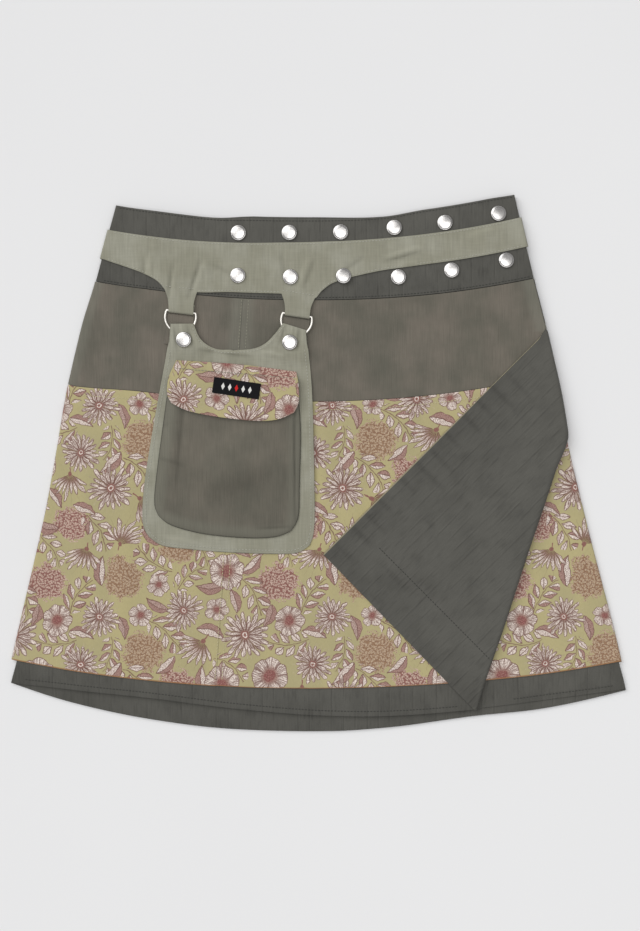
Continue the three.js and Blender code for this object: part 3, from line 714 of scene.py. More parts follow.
class Recipe:
    """A node material under way."""

    def __init__(self, name: str) -> None:
        """Args:
            name: the material's name.
        """
        self.material = bpy.data.materials.new(name)
        self.material.use_nodes = True
        self.tree = self.material.node_tree
        self.tree.nodes.clear()

    def node(self, kind: str, settings: dict, inputs: dict) -> bpy.types.Node:
        """Adds a node.

        Args:
            kind: its type.
            settings: its own properties, set first.
            inputs: a number, colour, vector or link for each socket, by name or place.

        Returns:
            The node.
        """
        made = self.tree.nodes.new(kind)
        for key, setting in settings.items():
            setattr(made, key, setting)
        for key, given in inputs.items():
            if isinstance(given, Ink):
                self.tree.links.new(given.socket, made.inputs[key])
            else:
                made.inputs[key].default_value = given
        return made

    def value(self, kind: str, settings: dict, inputs: dict, output: int | str = 0) -> Ink:
        """Adds a node and gives one of its outputs."""
        return Ink(self, self.node(kind, settings, inputs).outputs[output])

    def vector(self, operation: str, *inputs: Ink | tuple, output: int = 0) -> Ink:
        """A Vector Math node."""
        settings = {"operation": operation}
        return self.value("ShaderNodeVectorMath", settings, dict(enumerate(inputs)), output)

    def joined(self, x: Ink | float, y: Ink | float, z: Ink | float = 0.0) -> Ink:
        """Three numbers as a vector."""
        return self.value("ShaderNodeCombineXYZ", {}, {0: x, 1: y, 2: z})

    def parts(self, vector: Ink) -> list[Ink]:
        """A vector's three numbers."""
        outputs = self.node("ShaderNodeSeparateXYZ", {}, {0: vector}).outputs
        return [Ink(self, part) for part in outputs]

    def mixed(self, a: Ink | Colour, b: Ink | Colour, share: Ink | float) -> Ink:
        """Two colours mixed: a where the share is 0 and b where it is 1."""
        settings = {"data_type": "RGBA", "clamp_factor": True}
        return self.value("ShaderNodeMix", settings, {0: share, 6: rgba(a), 7: rgba(b)}, 2)

    def shaded(self, colour: Ink | Colour, amount: Ink) -> Ink:
        """A colour made lighter or darker by a factor."""
        settings = {"data_type": "RGBA", "blend_type": "MULTIPLY"}
        inputs = {0: 1.0, 6: rgba(colour), 7: self.joined(amount, amount, amount)}
        return self.value("ShaderNodeMix", settings, inputs, 2)

    def cloth(self) -> Ink:
        """The place on the flat cloth, in metres."""
        return self.value("ShaderNodeUVMap", {"uv_map": "cloth"}, {})

    def place(self) -> Ink:
        """The place on the object, in metres."""
        return self.value("ShaderNodeTexCoord", {}, {}, "Object")

    def mark(self, key: str) -> Ink:
        """One of the values kept at the piece's points."""
        return self.value("ShaderNodeAttribute", {"attribute_name": key}, {}, "Fac")

    def creased(self, tone: Ink, strength: float = 0.17) -> Ink:
        """A tone with painted shade in the creases' troughs, and lighter on their ridges as rubbed
        wear and painted light.
        """
        ridge, trough = 0.45 * MM, -1.4 * MM
        return self.mark("relief").least(ridge).most(trough) * (strength / MM) + tone

    def noise(self, place: Ink, scale: float, detail: float = 2.0) -> Ink:
        """Cloudy noise about 0.5, with this many clouds to a unit."""
        inputs = {"Vector": place, "Scale": scale, "Detail": detail}
        return self.value("ShaderNodeTexNoise", {}, inputs, "Fac")

    def streaks(self, place: Ink, across: float, along: float, detail: float = 1.0) -> Ink:
        """Noise about 0.5, with different numbers of clouds to a unit across and along."""
        return self.noise(self.vector("MULTIPLY", place, (across, along, 1.0)), 1.0, detail)

    def chance(self, number: Ink) -> Ink:
        """A number from 0 to 1 that looks random, the same for the same whole number."""
        settings = {"noise_dimensions": "1D"}
        return self.value("ShaderNodeTexWhiteNoise", settings, {"W": number}, "Value")

    def finish(self, sheen: float = 0.0, gloss: float = 0.22, bump: Ink | None = None,
               depth: float = 0.1, **surface: Ink | float) -> bpy.types.Material:
        """Joins the values to a Principled shader.

        Args:
            sheen: weight of the nap's sheen.
            gloss: level of the mirror reflection.
            bump: height of the fine relief, as a share of its depth.
            depth: the fine relief's depth in millimetres.
            surface: values for the shader's sockets, with _ for each space in a socket's name.

        Returns:
            The material.
        """
        inputs = {key.replace("_", " ").title(): v for key, v in surface.items()}
        if bump is not None:
            settings = {"Height": bump, "Strength": 1.0, "Distance": depth * MM}
            inputs["Normal"] = self.value("ShaderNodeBump", {}, settings)
        shader = self.node("ShaderNodeBsdfPrincipled", {}, inputs)
        shader.inputs["Specular IOR Level"].default_value = gloss
        shader.inputs["Sheen Weight"].default_value = sheen
        shader.inputs["Sheen Roughness"].default_value = 0.5
        self.node("ShaderNodeOutputMaterial", {}, {"Surface": Ink(self, shader.outputs[0])})
        return self.material


@dataclass(frozen=True)
class SlubCotton:
    """Plain dark cotton with thicker slub yarns about every 11 mm."""

    colour: Colour = (0.092, 0.0895, 0.079)
    khaki: Colour = (0.330, 0.290, 0.190)
    slub_spacing: float = 11.0
    slub_width: float = 0.05
    pressed_beside: float = 0.11

    def material(self) -> bpy.types.Material:
        """Cloudy dark cloth with fine streaks, pressed slub lines and a khaki front edge."""
        r = Recipe("dark_slub_cotton")
        place = r.cloth()
        clouds = r.noise(place, 16.0, 4.0)
        streaks = r.streaks(place, 900.0, 70.0)
        weave = r.streaks(place, 500.0, 1300.0)
        across = r.parts(place)[0]
        row = across / (self.slub_spacing * MM) + r.streaks(place, 18.0, 4.0, 2.0) * 0.7
        off = row - row.math("FLOOR") - 0.5
        broken = r.streaks(place, 70.0, 34.0, 2.0).fade(0.36, 0.62)
        dark, light = (
            abs(line).below(self.slub_width, 0.09) * broken
            for line in (off, off - self.pressed_beside)
        )
        tone = 0.65 + clouds * 0.42 + streaks * 0.24 + weave * 0.2 - dark * 0.17 + light * 0.08
        tone = tone - r.mark("to_foot").fade(0.0, 0.034, 0.1, 0.0)
        tone = tone - r.mark("to_side").fade(0.0, 0.03, 0.09, 0.0)
        tone = tone - r.streaks(place, 70.0, 46.0, 4.0).fade(0.4, 0.7, 0.0, 0.12)
        tone = tone - r.streaks(place, 420.0, 62.0).fade(0.56, 0.7, 0.0, 0.1)
        side_edge = r.mark("to_side").fade(0.0006, 0.0012, 0.8, 0.0)
        front_edge = side_edge * abs(across).below(0.003, 0.001)
        return r.finish(
            base_color=r.mixed(r.shaded(self.colour, r.creased(tone)), self.khaki, front_edge),
            roughness=0.9,
            sheen=0.06,
            bump=streaks * 0.6 + weave * 0.4 + light * 0.5 - dark * 0.5,
            depth=0.12,
        )


@dataclass(frozen=True)
class Needlecord:
    """Peached taupe needlecord: fine ribs down the cloth under a cloudy nap."""

    name: str = "taupe_needlecord"
    colour: Colour = (0.108, 0.104, 0.083)
    worn: Colour = (0.203, 0.173, 0.143)
    edge: Colour = (0.180, 0.178, 0.145)
    edge_wear: float = 0.5
    # strength of the painted shade in a thin line along the very rim
    rim_shade: float = 0.0

    def material(self) -> bpy.types.Material:
        """Ribbed taupe with paler, rubbed clouds, palest along its edges, and painted shade in a
        thin line at the very rim.
        """
        r = Recipe(self.name)
        place = r.cloth()
        ribs = r.streaks(place, 1100.0, 45.0)
        patches = r.streaks(place, 20.0, 13.0, 4.0) * 0.55 + r.noise(place, 42.0, 5.0) * 0.45
        edge_wear = r.mark("to_side").fade(0.006, 0.015, self.edge_wear, 0.0)
        colour = r.mixed(self.colour, self.worn, patches.fade(0.32, 0.7, 0.06, 0.66))
        # painted shade in a thin dark line along the very rim
        rim = r.mark("to_side").fade(0.0003, 0.0014, self.rim_shade, 0.0)
        tone = r.creased(0.82 + ribs * 0.36 - rim)
        return r.finish(
            base_color=r.shaded(r.mixed(colour, self.edge, edge_wear), tone),
            roughness=0.93,
            sheen=0.12,
            bump=ribs,
            depth=0.2,
        )


@dataclass(frozen=True)
class SageCanvas:
    """Washed sage canvas with fine slubby streaks down the cloth."""

    colour: Colour = (0.255, 0.248, 0.190)
    faded: Colour = (0.345, 0.340, 0.280)

    def material(self) -> bpy.types.Material:
        """Streaky canvas, faded and darker in turn, with a pale pressed edge."""
        r = Recipe("sage_canvas")
        place = r.cloth()
        streaks = r.streaks(place, 560.0, 36.0, 2.0)
        cross = r.streaks(place, 60.0, 700.0)
        pale = r.mark("to_side").fade(0.0, 0.0025, 0.35, 0.0)
        faded = r.noise(place, 30.0, 4.0).fade(0.38, 0.68, 0.1, 0.65).most(pale)
        tone = r.creased(0.74 + streaks * 0.38 + cross * 0.14)
        return r.finish(
            base_color=r.shaded(r.mixed(self.colour, self.faded, faded), tone),
            roughness=0.86,
            sheen=0.1,
            bump=streaks * 0.7 + cross * 0.3,
            depth=0.18,
        )


class Kind(Enum):
    """A motif of the flowered cotton: width to length, half-length and how many in a repeat."""

    ROSE_CLUSTER = (0.86, 23.0, 3)
    OCHRE_CLUSTER = (0.9, 22.0, 3)
    DAISY = (1.0, 22.0, 6)
    BROAD = (0.94, 19.5, 5)
    FAN = (0.95, 19.0, 7)
    BLOSSOM = (0.96, 13.5, 3)
    SPRIG = (0.66, 20.0, 13)
    LEAF = (0.46, 13.5, 20)


class Motif(NamedTuple):
    """One motif of the repeat: its centre, half-length and turn in radians."""

    x: float
    y: float
    size: float
    turn: float


def around(x: Ink, y: Ink) -> tuple[Ink, Ink]:
    """Distance from a motif's centre, and the direction as a share of a whole turn."""
    return (x * x + y * y) ** 0.5, y.math("ARCTAN2", x) / (2 * math.pi)


@dataclass(frozen=True)
class FloralPrint:
    """Olive cotton printed with outlined flowers and leaves in pale pink and rose-brown.

    A method that draws a motif takes the finish being made, the place across and along the
    motif, which fills the unit circle, and the motif's number. It gives its cover and colour.
    """

    ground: Colour = (0.440, 0.385, 0.200)
    ground_low: Colour = (0.395, 0.350, 0.190)
    petal: Colour = (0.780, 0.680, 0.610)
    blush: Colour = (0.420, 0.240, 0.200)
    line: Colour = (0.165, 0.082, 0.065)
    heart: Colour = (0.240, 0.085, 0.080)
    leaf_rose: Colour = (0.340, 0.180, 0.150)
    rose: Colour = (0.270, 0.125, 0.105)
    rose_light: Colour = (0.60, 0.45, 0.37)
    ochre: Colour = (0.300, 0.185, 0.110)
    ochre_light: Colour = (0.52, 0.40, 0.28)
    hem_fold: Colour = (0.300, 0.150, 0.065)
    width: float = 220.0
    height: float = 200.0
    cell: float = 2.0
    tries: int = 500
    seed: int = 11
    fan_petals: int = 23

    def scatter(self) -> dict[Kind, list[Motif]]:
        """The repeat's motifs, each set down where it covers least of those before it.

        The repeat is a grid of cells that wraps round. Every motif tries chance places and
        turns, and a try is judged by the share of its ellipse on cells that are covered.
        """
        luck = np.random.default_rng(self.seed)
        rows, columns = int(self.height / self.cell), int(self.width / self.cell)
        covered = np.zeros((rows, columns), bool)
        angle, reach = luck.random(900) * 2 * np.pi, np.sqrt(luck.random(900))
        motifs: dict[Kind, list[Motif]] = {kind: [] for kind in Kind}
        for kind in Kind:
            share, half, count = kind.value
            for size in half * luck.uniform(0.86, 1.12, count):
                x, y, turn = (
                    luck.uniform(0.0, most, (self.tries, 1))
                    for most in (self.width, self.height, 2 * np.pi)
                )
                ahead, aside = size * reach * np.cos(angle), size * share * reach * np.sin(angle)
                column = (x + ahead * np.cos(turn) - aside * np.sin(turn)) / self.cell
                row = (y + ahead * np.sin(turn) + aside * np.cos(turn)) / self.cell
                row, column = row.astype(int) % rows, column.astype(int) % columns
                best = int(covered[row, column].mean(axis=1).argmin())
                covered[row[best], column[best]] = True
                place = float(x[best, 0]), float(y[best, 0])
                motifs[kind].append(Motif(*place, size, float(turn[best, 0])))
        return motifs

    def local(self, r: Recipe, place: Ink, motifs: Sequence[Motif], share: float) -> list[Ink]:
        """The place within whichever motif of a kind holds it.

        The place is wrapped into the repeat that is centred on each motif, then moved, turned
        and scaled so that the motif fills the unit circle. Only the motif whose circle holds the
        place passes it on, with a number of its own as the third value.

        Args:
            r: the finish being made.
            place: on the cloth, in millimetres.
            motifs: all of one kind.
            share: their width to length.

        Returns:
            Two plane values in the motif's own frame, and the motif's number.
        """
        found: Ink | tuple = (9.0, 9.0, 0.0)
        w, h = self.width / 2, self.height / 2
        for number, m in enumerate(motifs, 1):
            near = r.vector("WRAP", place, (m.x + w, m.y + h, 1.0), (m.x - w, m.y - h, -1.0))
            inputs = {
                "Vector": near,
                "Location": (m.x, m.y, -float(number)),
                "Rotation": (0.0, 0.0, m.turn),
                "Scale": (m.size, m.size * share, 1.0),
            }
            moved = r.value("ShaderNodeMapping", {"vector_type": "TEXTURE"}, inputs)
            away = r.vector("LENGTH", moved, output=1)
            inside = away.math("LESS_THAN", math.hypot(1.0, number))
            inputs = {0: inside, 4: found, 5: moved}
            found = r.value("ShaderNodeMix", {"data_type": "VECTOR"}, inputs, 1)
        return r.parts(found)

    def petals(self, r: Recipe, away: Ink, turn: Ink, number: Ink, count: int, reach: float,
               shift: float) -> tuple[Ink, Ink, Ink]:
        """A ring of narrow petals round a centre.

        The turn is cut into equal petals. A petal's half-width is 0.48 of its share of the turn
        times the root of 1 - (distance / length)^5, and each has a length of its own.

        Args:
            r: the finish being made.
            away: distance from the centre.
            turn: the direction, as a share of a whole turn.
            number: the motif's number.
            count: of petals.
            reach: length of the longest.
            shift: of the ring, in petals.

        Returns:
            How far inside a petal's outline the place is, the share from its midline to its
            side, and the petal's own chance number.
        """
        petal, aside = (turn * count + shift).cell()
        luck = r.chance(petal + number * 37.0 + shift * 11.0)
        along = (away / (luck * (0.24 * reach) + 0.76 * reach)).least(1.0)
        half = (1.0 - along ** 5.0) ** 0.5 * 0.48
        return (half - aside) * away * (2 * math.pi / count), aside, luck

    def engraved(self, r: Recipe, turn: Ink, away: Ink, strokes: float) -> Ink:
        """Fine broken strokes that run out from a flower's centre, this many to a turn."""
        return r.noise(r.joined(turn * strokes, away * 3.2), 1.0, 1.0).fade(0.5, 0.62, 0.0, 0.62)

    def daisy(self, r: Recipe, x: Ink, y: Ink, number: Ink) -> tuple[Ink, Ink]:
        """Two rings of narrow outlined petals round a small ringed centre."""
        away, turn = around(x, y)
        colour: Ink | Colour = self.petal
        cover: Ink | None = None
        for count, reach, shift, line in ((19, 1.0, 0.3, 0.034), (14, 0.72, 0.0, 0.03)):
            depth, aside, luck = self.petals(r, away, turn, number, count, reach, shift)
            outline = 1.0 - depth.above(line, 0.03)
            stroke = aside.below(0.07, 0.1) * away.below(luck * 0.5 + 0.26, 0.1)
            edging = abs(aside - 0.25).below(0.05, 0.08) * (away - 0.9 + luck * 0.4).soft(0.1)
            fill = r.mixed(self.blush, self.petal, away.fade(0.06, 0.32))
            ring = r.mixed(fill, self.line, outline.most(stroke * 0.85).most(edging * 0.7))
            inside = depth.soft(0.02)
            colour = r.mixed(colour, ring, inside)
            cover = inside if cover is None else cover.most(inside)
        colour = r.mixed(colour, self.line, self.engraved(r, turn, away, 90.0))
        heart = away.below(0.17, 0.03)
        rim = abs(away - 0.14).below(0.035, 0.02)
        centre = r.mixed(self.petal, self.rose, rim.most(away.below(0.06, 0.02)))
        return cover.most(heart), r.mixed(colour, centre, heart)

    def broad(self, r: Recipe, x: Ink, y: Ink, number: Ink, lobes: int, lobe: float,
              heart: float) -> tuple[Ink, Ink]:
        """A pale flower with fine streaks and a dark centre of a given radius.

        Its edge has some lobes, which stand out by a share of it, and is waved and ragged.
        """
        away, turn = around(x, y)
        place = r.joined(x, y, number * 3.0)
        ragged = r.noise(place, 3.4, 1.0)
        wave = abs((turn * (lobes / 2) + number * 0.2).fraction() - 0.5)
        lobed = abs((turn * lobes + number * 0.3).fraction() - 0.5)
        edge_at = 0.86 - lobe * (lobed * 2.0) ** 2.5 + wave * 0.06 + ragged * 0.16 - 0.06
        depth = edge_at - away
        outline = 1.0 - depth.above(0.035, 0.03)
        which, aside = (turn * 46.0).cell()
        luck = r.chance(which + number * 53.0)
        inner = aside.below(0.2, 0.12) * away.below(luck * 0.5 + heart + 0.1, 0.06)
        outer = aside.below(0.18, 0.12) * (away - 0.86 + luck * 0.55).soft(0.06)
        split = ((0.5 - lobed) * away).below(0.045, 0.03) * (away - heart - 0.1).soft(0.05)
        fill = r.mixed(self.blush, self.petal, away.fade(heart * 0.9, heart + 0.28))
        inked = outline.most(inner * 0.85).most(outer * 0.7).most(split * 0.8)
        inked = inked.most(self.engraved(r, turn, away, 110.0))
        speckle = r.noise(place, 17.0, 0.0).fade(0.45, 0.65, 0.0, 0.6)
        disc = r.mixed(self.heart, self.blush, speckle)
        at_heart = (heart - away + (ragged - 0.5) * 0.1).soft(0.03)
        return depth.soft(0.02), r.mixed(r.mixed(fill, self.line, inked), disc, at_heart)

    def fan(self, r: Recipe, x: Ink, y: Ink, number: Ink) -> tuple[Ink, Ink]:
        """Pointed petals that open half-way round from a calyx, with a stem behind it."""
        ahead = x + 0.62
        bent = y + (ahead * ahead) * 0.14
        away, turn = around(ahead, bent)
        petal, aside = (turn * float(self.fan_petals) + 0.5).cell()
        luck = r.chance(petal + number * 17.0)
        along = (away / (luck * 0.5 + 1.05)).least(1.0)
        half = (along * math.pi).math("SINE") ** 0.7 * 0.46 + (1.0 - along) * 0.08
        depth = (half - aside) * away * (2 * math.pi / self.fan_petals)
        inside = depth.soft(0.02) * abs(petal).below(4.6, 0.01)
        outline = 1.0 - depth.above(0.034, 0.03)
        stroke = aside.below(0.08, 0.1) * along.below(luck * 0.5 + 0.4, 0.1)
        fill = r.mixed(self.blush, self.petal, along.fade(0.15, 0.6))
        streaks = self.engraved(r, turn, away, 120.0)
        colour = r.mixed(fill, self.line, outline.most(stroke * 0.7).most(streaks))
        calyx = away.below(0.12, 0.03)
        stem = abs(bent).below(0.03, 0.02) * ahead.below(0.0, 0.02)
        return inside.most(calyx).most(stem), r.mixed(colour, self.rose, calyx.most(stem))

    def cluster(self, r: Recipe, x: Ink, y: Ink, number: Ink, tint: Colour,
                light: Colour) -> tuple[Ink, Ink]:
        """A rounded cloud of small rings, drawn as the cells about scattered points."""
        place = r.joined(x, y, number * 2.0)
        away = (x * x + y * y) ** 0.5
        ragged = r.noise(place, 3.0, 2.0)
        settings = {"voronoi_dimensions": "2D", "feature": "F1"}
        inputs = {"Vector": place, "Scale": 10.0, "Randomness": 0.9}
        cell = r.value("ShaderNodeTexVoronoi", settings, inputs)
        ring = cell.above(0.4, 0.16).most(cell.below(0.14, 0.1) * 0.8)
        cover = (0.5 + ragged * 0.95 - away - cell * 0.34).soft(0.03)
        return cover, r.mixed(light, tint, ring)

    def leaf(self, r: Recipe, x: Ink, y: Ink, number: Ink) -> tuple[Ink, Ink]:
        """A bent pointed leaf with a midrib, one half pale and the other hatched in rose."""
        bent = y + (x * x) * 0.5 - 0.2
        half = (1.0 - x * x).most(0.0) * (x * -0.25 + 0.85)
        depth = (half - abs(bent)) * 0.44
        outline = 1.0 - depth.above(0.045, 0.04)
        rib = abs(bent).below(0.06, 0.05)
        vein = abs((x * 8.0 - abs(bent) * 3.6).fraction() - 0.5).below(0.12, 0.12)
        shade = bent.soft(0.2).most(r.chance(number).fade(0.5, 0.6) * 0.8)
        fill = r.mixed(self.petal, self.leaf_rose, shade * 0.85)
        return depth.soft(0.03), r.mixed(fill, self.line, outline.most(rib).most(vein * 0.7))

    def sprig(self, r: Recipe, x: Ink, y: Ink, number: Ink) -> tuple[Ink, Ink]:
        """A curved stem with pointed leaves that lean forwards on both sides."""
        rows, lean = 1.95, math.radians(44)
        curve = y + (x * x) * 0.35 - 0.12
        side = curve.math("SIGN")
        place = x * rows + side * 0.25 + 0.4
        row = place.math("FLOOR")
        luck = r.chance(row + side * 5.0 + number * 29.0)
        across = (place - row - 0.5) / rows
        up = abs(curve) * 0.66 - 0.31
        along = across * math.cos(lean) + up * math.sin(lean)
        aside = up * math.cos(lean) - across * math.sin(lean)
        share = (abs(along) / (luck * 0.08 + 0.33)).least(1.0)
        depth = (1.0 - share ** 1.5) * 0.18 - abs(aside)
        within = abs(x).below(0.98, 0.02)
        inside = depth.soft(0.02) * within
        outline = 1.0 - depth.above(0.032, 0.026)
        rib = abs(aside).below(0.016, 0.02)
        slant = (along * 9.0 - abs(aside) * 8.0 + luck * 3.0).fraction()
        vein = abs(slant - 0.5).below(0.1, 0.14)
        dark = aside.above(0.005, 0.03) * luck.fade(0.25, 0.5) * 0.85
        fill = r.mixed(self.petal, self.leaf_rose, dark)
        leaf = r.mixed(fill, self.line, outline.most(rib).most(vein * 0.45))
        stem = (abs(curve) * 0.66).below(0.02, 0.02) * within
        return inside.most(stem * 0.8), r.mixed(self.line, leaf, inside)

    def material(self) -> bpy.types.Material:
        """The repeat on a slightly uneven olive ground, with a rust-brown fold at the hem."""
        r = Recipe("flowered_cotton")
        cloth = r.cloth()
        place = r.vector("MULTIPLY", cloth, (1 / MM, 1 / MM, 0.0))
        for scale, reach in ((60.0, 5.0), (260.0, 2.0)):
            wobble = r.value("ShaderNodeTexNoise", {}, {"Vector": cloth, "Scale": scale}, "Color")
            drift = r.vector("SUBTRACT", wobble, (0.5, 0.5, 0.5))
            place = r.vector("MULTIPLY_ADD", drift, (reach, reach, 0.0), place)
        patches = r.streaks(cloth, 26.0, 9.0, 2.0)
        colour = r.mixed(self.ground_low, self.ground, patches.fade(0.35, 0.65))
        drawn = {
            Kind.OCHRE_CLUSTER: partial(self.cluster, tint=self.ochre, light=self.ochre_light),
            Kind.ROSE_CLUSTER: partial(self.cluster, tint=self.rose, light=self.rose_light),
            Kind.SPRIG: self.sprig,
            Kind.LEAF: self.leaf,
            Kind.FAN: self.fan,
            Kind.BLOSSOM: partial(self.broad, lobes=5, lobe=0.2, heart=0.2),
            Kind.BROAD: partial(self.broad, lobes=7, lobe=0.08, heart=0.26),
            Kind.DAISY: self.daisy,
        }
        motifs = self.scatter()
        hatch = r.noise(cloth, 900.0, 1.0).fade(0.44, 0.66, 0.0, 0.62)
        for kind, draw in drawn.items():
            cover, ink = draw(r, *self.local(r, place, motifs[kind], kind.value[0]))
            colour = r.mixed(colour, r.mixed(ink, self.line, hatch), cover)
        worn = r.streaks(cloth, 700.0, 300.0)
        fold = r.mark("to_foot").fade(0.0004, 0.0012, 0.85, 0.0)
        tone = r.creased(0.93 + worn * 0.14)
        return r.finish(
            base_color=r.mixed(r.shaded(colour, tone), self.hem_fold, fold),
            roughness=0.85,
            sheen=0.1,
            bump=worn,
        )


@dataclass(frozen=True)
class WovenLabel:
    """A black woven label with a row of plain diamonds, one of them red."""

    black: Colour = (0.008, 0.008, 0.009)
    white: Colour = (0.72, 0.71, 0.68)
    red: Colour = (0.55, 0.02, 0.02)
    spacing: float = 6.4
    half_height: float = 3.4
    half_width: float = 1.7

    def material(self) -> bpy.types.Material:
        """Satin black with diamonds a spacing apart along the middle."""
        r = Recipe("woven_label")
        cloth = r.cloth()
        x, y, _ = r.parts(cloth)
        which, off = (x / (self.spacing * MM) + 0.5).cell()
        up = abs(y) / (self.half_height * MM)
        row = (1.0 - off * (self.spacing / self.half_width) - up).soft(0.12)
        diamond = row * abs(which).below(2.4, 0.01)
        inked = r.mixed(self.white, self.red, abs(which).below(0.5, 0.01))
        threads = r.streaks(cloth, 2600.0, 700.0)
        return r.finish(
            base_color=r.mixed(r.shaded(self.black, 0.6 + threads * 1.2), inked, diamond),
            roughness=0.7,
            gloss=0.06,
            bump=threads + diamond * 0.5,
            depth=0.12,
        )


@dataclass(frozen=True)
class Nickel:
    """Bright nickel plate, more or less scuffed."""

    name: str = "nickel"
    colour: Colour = (0.560, 0.545, 0.530)
    polish: float = 0.26

    def material(self) -> bpy.types.Material:
        """Polished metal with a faint cloudy haze."""
        r = Recipe(self.name)
        haze = r.noise(r.place(), 130.0, 1.0)
        return r.finish(
            base_color=r.shaded(self.colour, 0.94 + haze * 0.1),
            metallic=1.0,
            gloss=0.5,
            roughness=haze.fade(0.3, 0.8, self.polish, self.polish + 0.08),
        )


@dataclass(frozen=True)
class Thread:
    """Sewing thread of one colour."""

    name: str
    colour: Colour

    def material(self) -> bpy.types.Material:
        """Matt thread, with a little light and dark along its twist."""
        r = Recipe(self.name)
        twist = r.noise(r.place(), 1500.0, 1.0)
        return r.finish(base_color=r.shaded(self.colour, 0.8 + twist * 0.4), roughness=0.7)


class Slot(Enum):
    """The record's material slots, with the pouch's cord and the rings' metal beside them."""

    DARK = "dark_cotton"
    TAUPE = "taupe_cord"
    POUCH = "pouch_cord"
    PRINT = "floral_print"
    SAGE = "sage_canvas"
    LABEL = "woven_label"
    NICKEL = "nickel"
    WIRE = "nickel_wire"


POUCH_CORD = Needlecord(
    name="pouch_needlecord",
    colour=(0.104, 0.099, 0.079),
    worn=(0.176, 0.156, 0.126),
    edge=(0.158, 0.153, 0.122),
    edge_wear=0.75,
    rim_shade=0.5,
)


class Wardrobe:
    """One material for each finish, made once and shared."""

    def __init__(self) -> None:
        """Makes the cloths, the metal and the threads."""
        cloths = {
            Slot.DARK: SlubCotton(),
            Slot.TAUPE: Needlecord(),
            Slot.POUCH: POUCH_CORD,
            Slot.PRINT: FloralPrint(),
            Slot.SAGE: SageCanvas(),
            Slot.LABEL: WovenLabel(),
            Slot.NICKEL: Nickel(),
            Slot.WIRE: Nickel("nickel_wire", (0.90, 0.87, 0.81), 0.46),
        }
        threads = {
            Slot.DARK: Thread("thread_dark", (0.050, 0.050, 0.045)),
            Slot.TAUPE: Thread("thread_grey", (0.270, 0.260, 0.205)),
            Slot.PRINT: Thread("thread_khaki", (0.520, 0.470, 0.290)),
            Slot.SAGE: Thread("thread_pale", (0.400, 0.395, 0.335)),
        }
        self.cloths, self.threads = (
            {slot: finish.material() for slot, finish in finishes.items()}
            for finishes in (cloths, threads)
        )

    def dress(self, piece: bpy.types.Object, slot: Slot, thread: bool = False) -> None:
        """Gives a piece the material of its slot and lets it ride on the skirt.

        Args:
            piece: the finished object.
            slot: whose finish it has.
            thread: whether it is a row of stitches rather than the cloth itself.
        """
        piece.data.materials.append(self.threads[slot] if thread else self.cloths[slot])
        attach(piece, "root")


# ---- Stitches ----


@dataclass(frozen=True)
class Stitches:
    """A row of lock stitches: short rounded threads end to end with small gaps."""

    pitch: float = 3.1
    length: float = 2.1
    width: float = 0.8
    height: float = 0.5
    sides: int = 6

    def template(self) -> tuple[Array, Faces]:
        """One stitch along X: five six-sided rings, closed by narrow ends.

        A ring's half-width follows the root of 1 - (2 share - 1)^4 of the stitch's length.
        """
        share = np.array([0.0, 0.12, 0.5, 0.88, 1.0])
        bulge = np.maximum(1.0 - (2 * share - 1) ** 4, 0.02) ** 0.5
        angle = np.linspace(0.0, 2 * np.pi, self.sides, endpoint=False)
        y = bulge[:, None] * np.cos(angle) * self.width / 2
        z = bulge[:, None] * np.sin(angle) * self.height / 2
        x = np.broadcast_to(((share - 0.5) * self.length)[:, None], y.shape)
        ends = [[3, 2, 1, 0], [5, 4, 3, 0], [24, 25, 26, 27], [24, 27, 28, 29]]
        faces = np.concatenate([walls(len(share), self.sides), ends])
        return np.stack([x, y, z], axis=-1).reshape(-1, 3), faces

    def row(self, name: str, paths: Sequence[Array]) -> bpy.types.Object:
        """Stitches along lines on the cloth's upper face.

        Each line is cut at even distances along its length, and a copy of the template is put
        at each cut, turned about Z to the line's direction and tilted to its slope.

        Args:
            name: the piece's name.
            paths: the lines, each an array of points.

        Returns:
            One object with all the stitches.
        """
        shape, faces = self.template()
        centres, directions = [], []
        for path in paths:
            lengths = np.linalg.norm(np.diff(path, axis=0), axis=1)
            gone = np.concatenate([[0.0], np.cumsum(lengths)])
            cuts = np.arange(self.pitch / 2, gone[-1], self.pitch)
            ahead = np.minimum(cuts + self.length / 2, gone[-1])
            here, front, back = (
                np.stack([np.interp(s, gone, path[:, k]) for k in range(3)], axis=-1)
                for s in (cuts, ahead, cuts - self.length / 2)
            )
            centres.append(here)
            directions.append(unit(front - back))
        centre, along = np.concatenate(centres), np.concatenate(directions)
        aside = unit(np.stack([-along[:, 1], along[:, 0], np.zeros(len(along))], axis=-1))
        axes = np.stack([along, aside, np.cross(along, aside)], axis=1)
        points = centre[:, None] + np.einsum("vk,nkc->nvc", shape, axes)
        first = np.arange(len(centre))[:, None, None] * len(shape)
        return make_object(name, points.reshape(-1, 3), (faces[None] + first).reshape(-1, 4))


# ---- Panels laid out by angle and radius ----


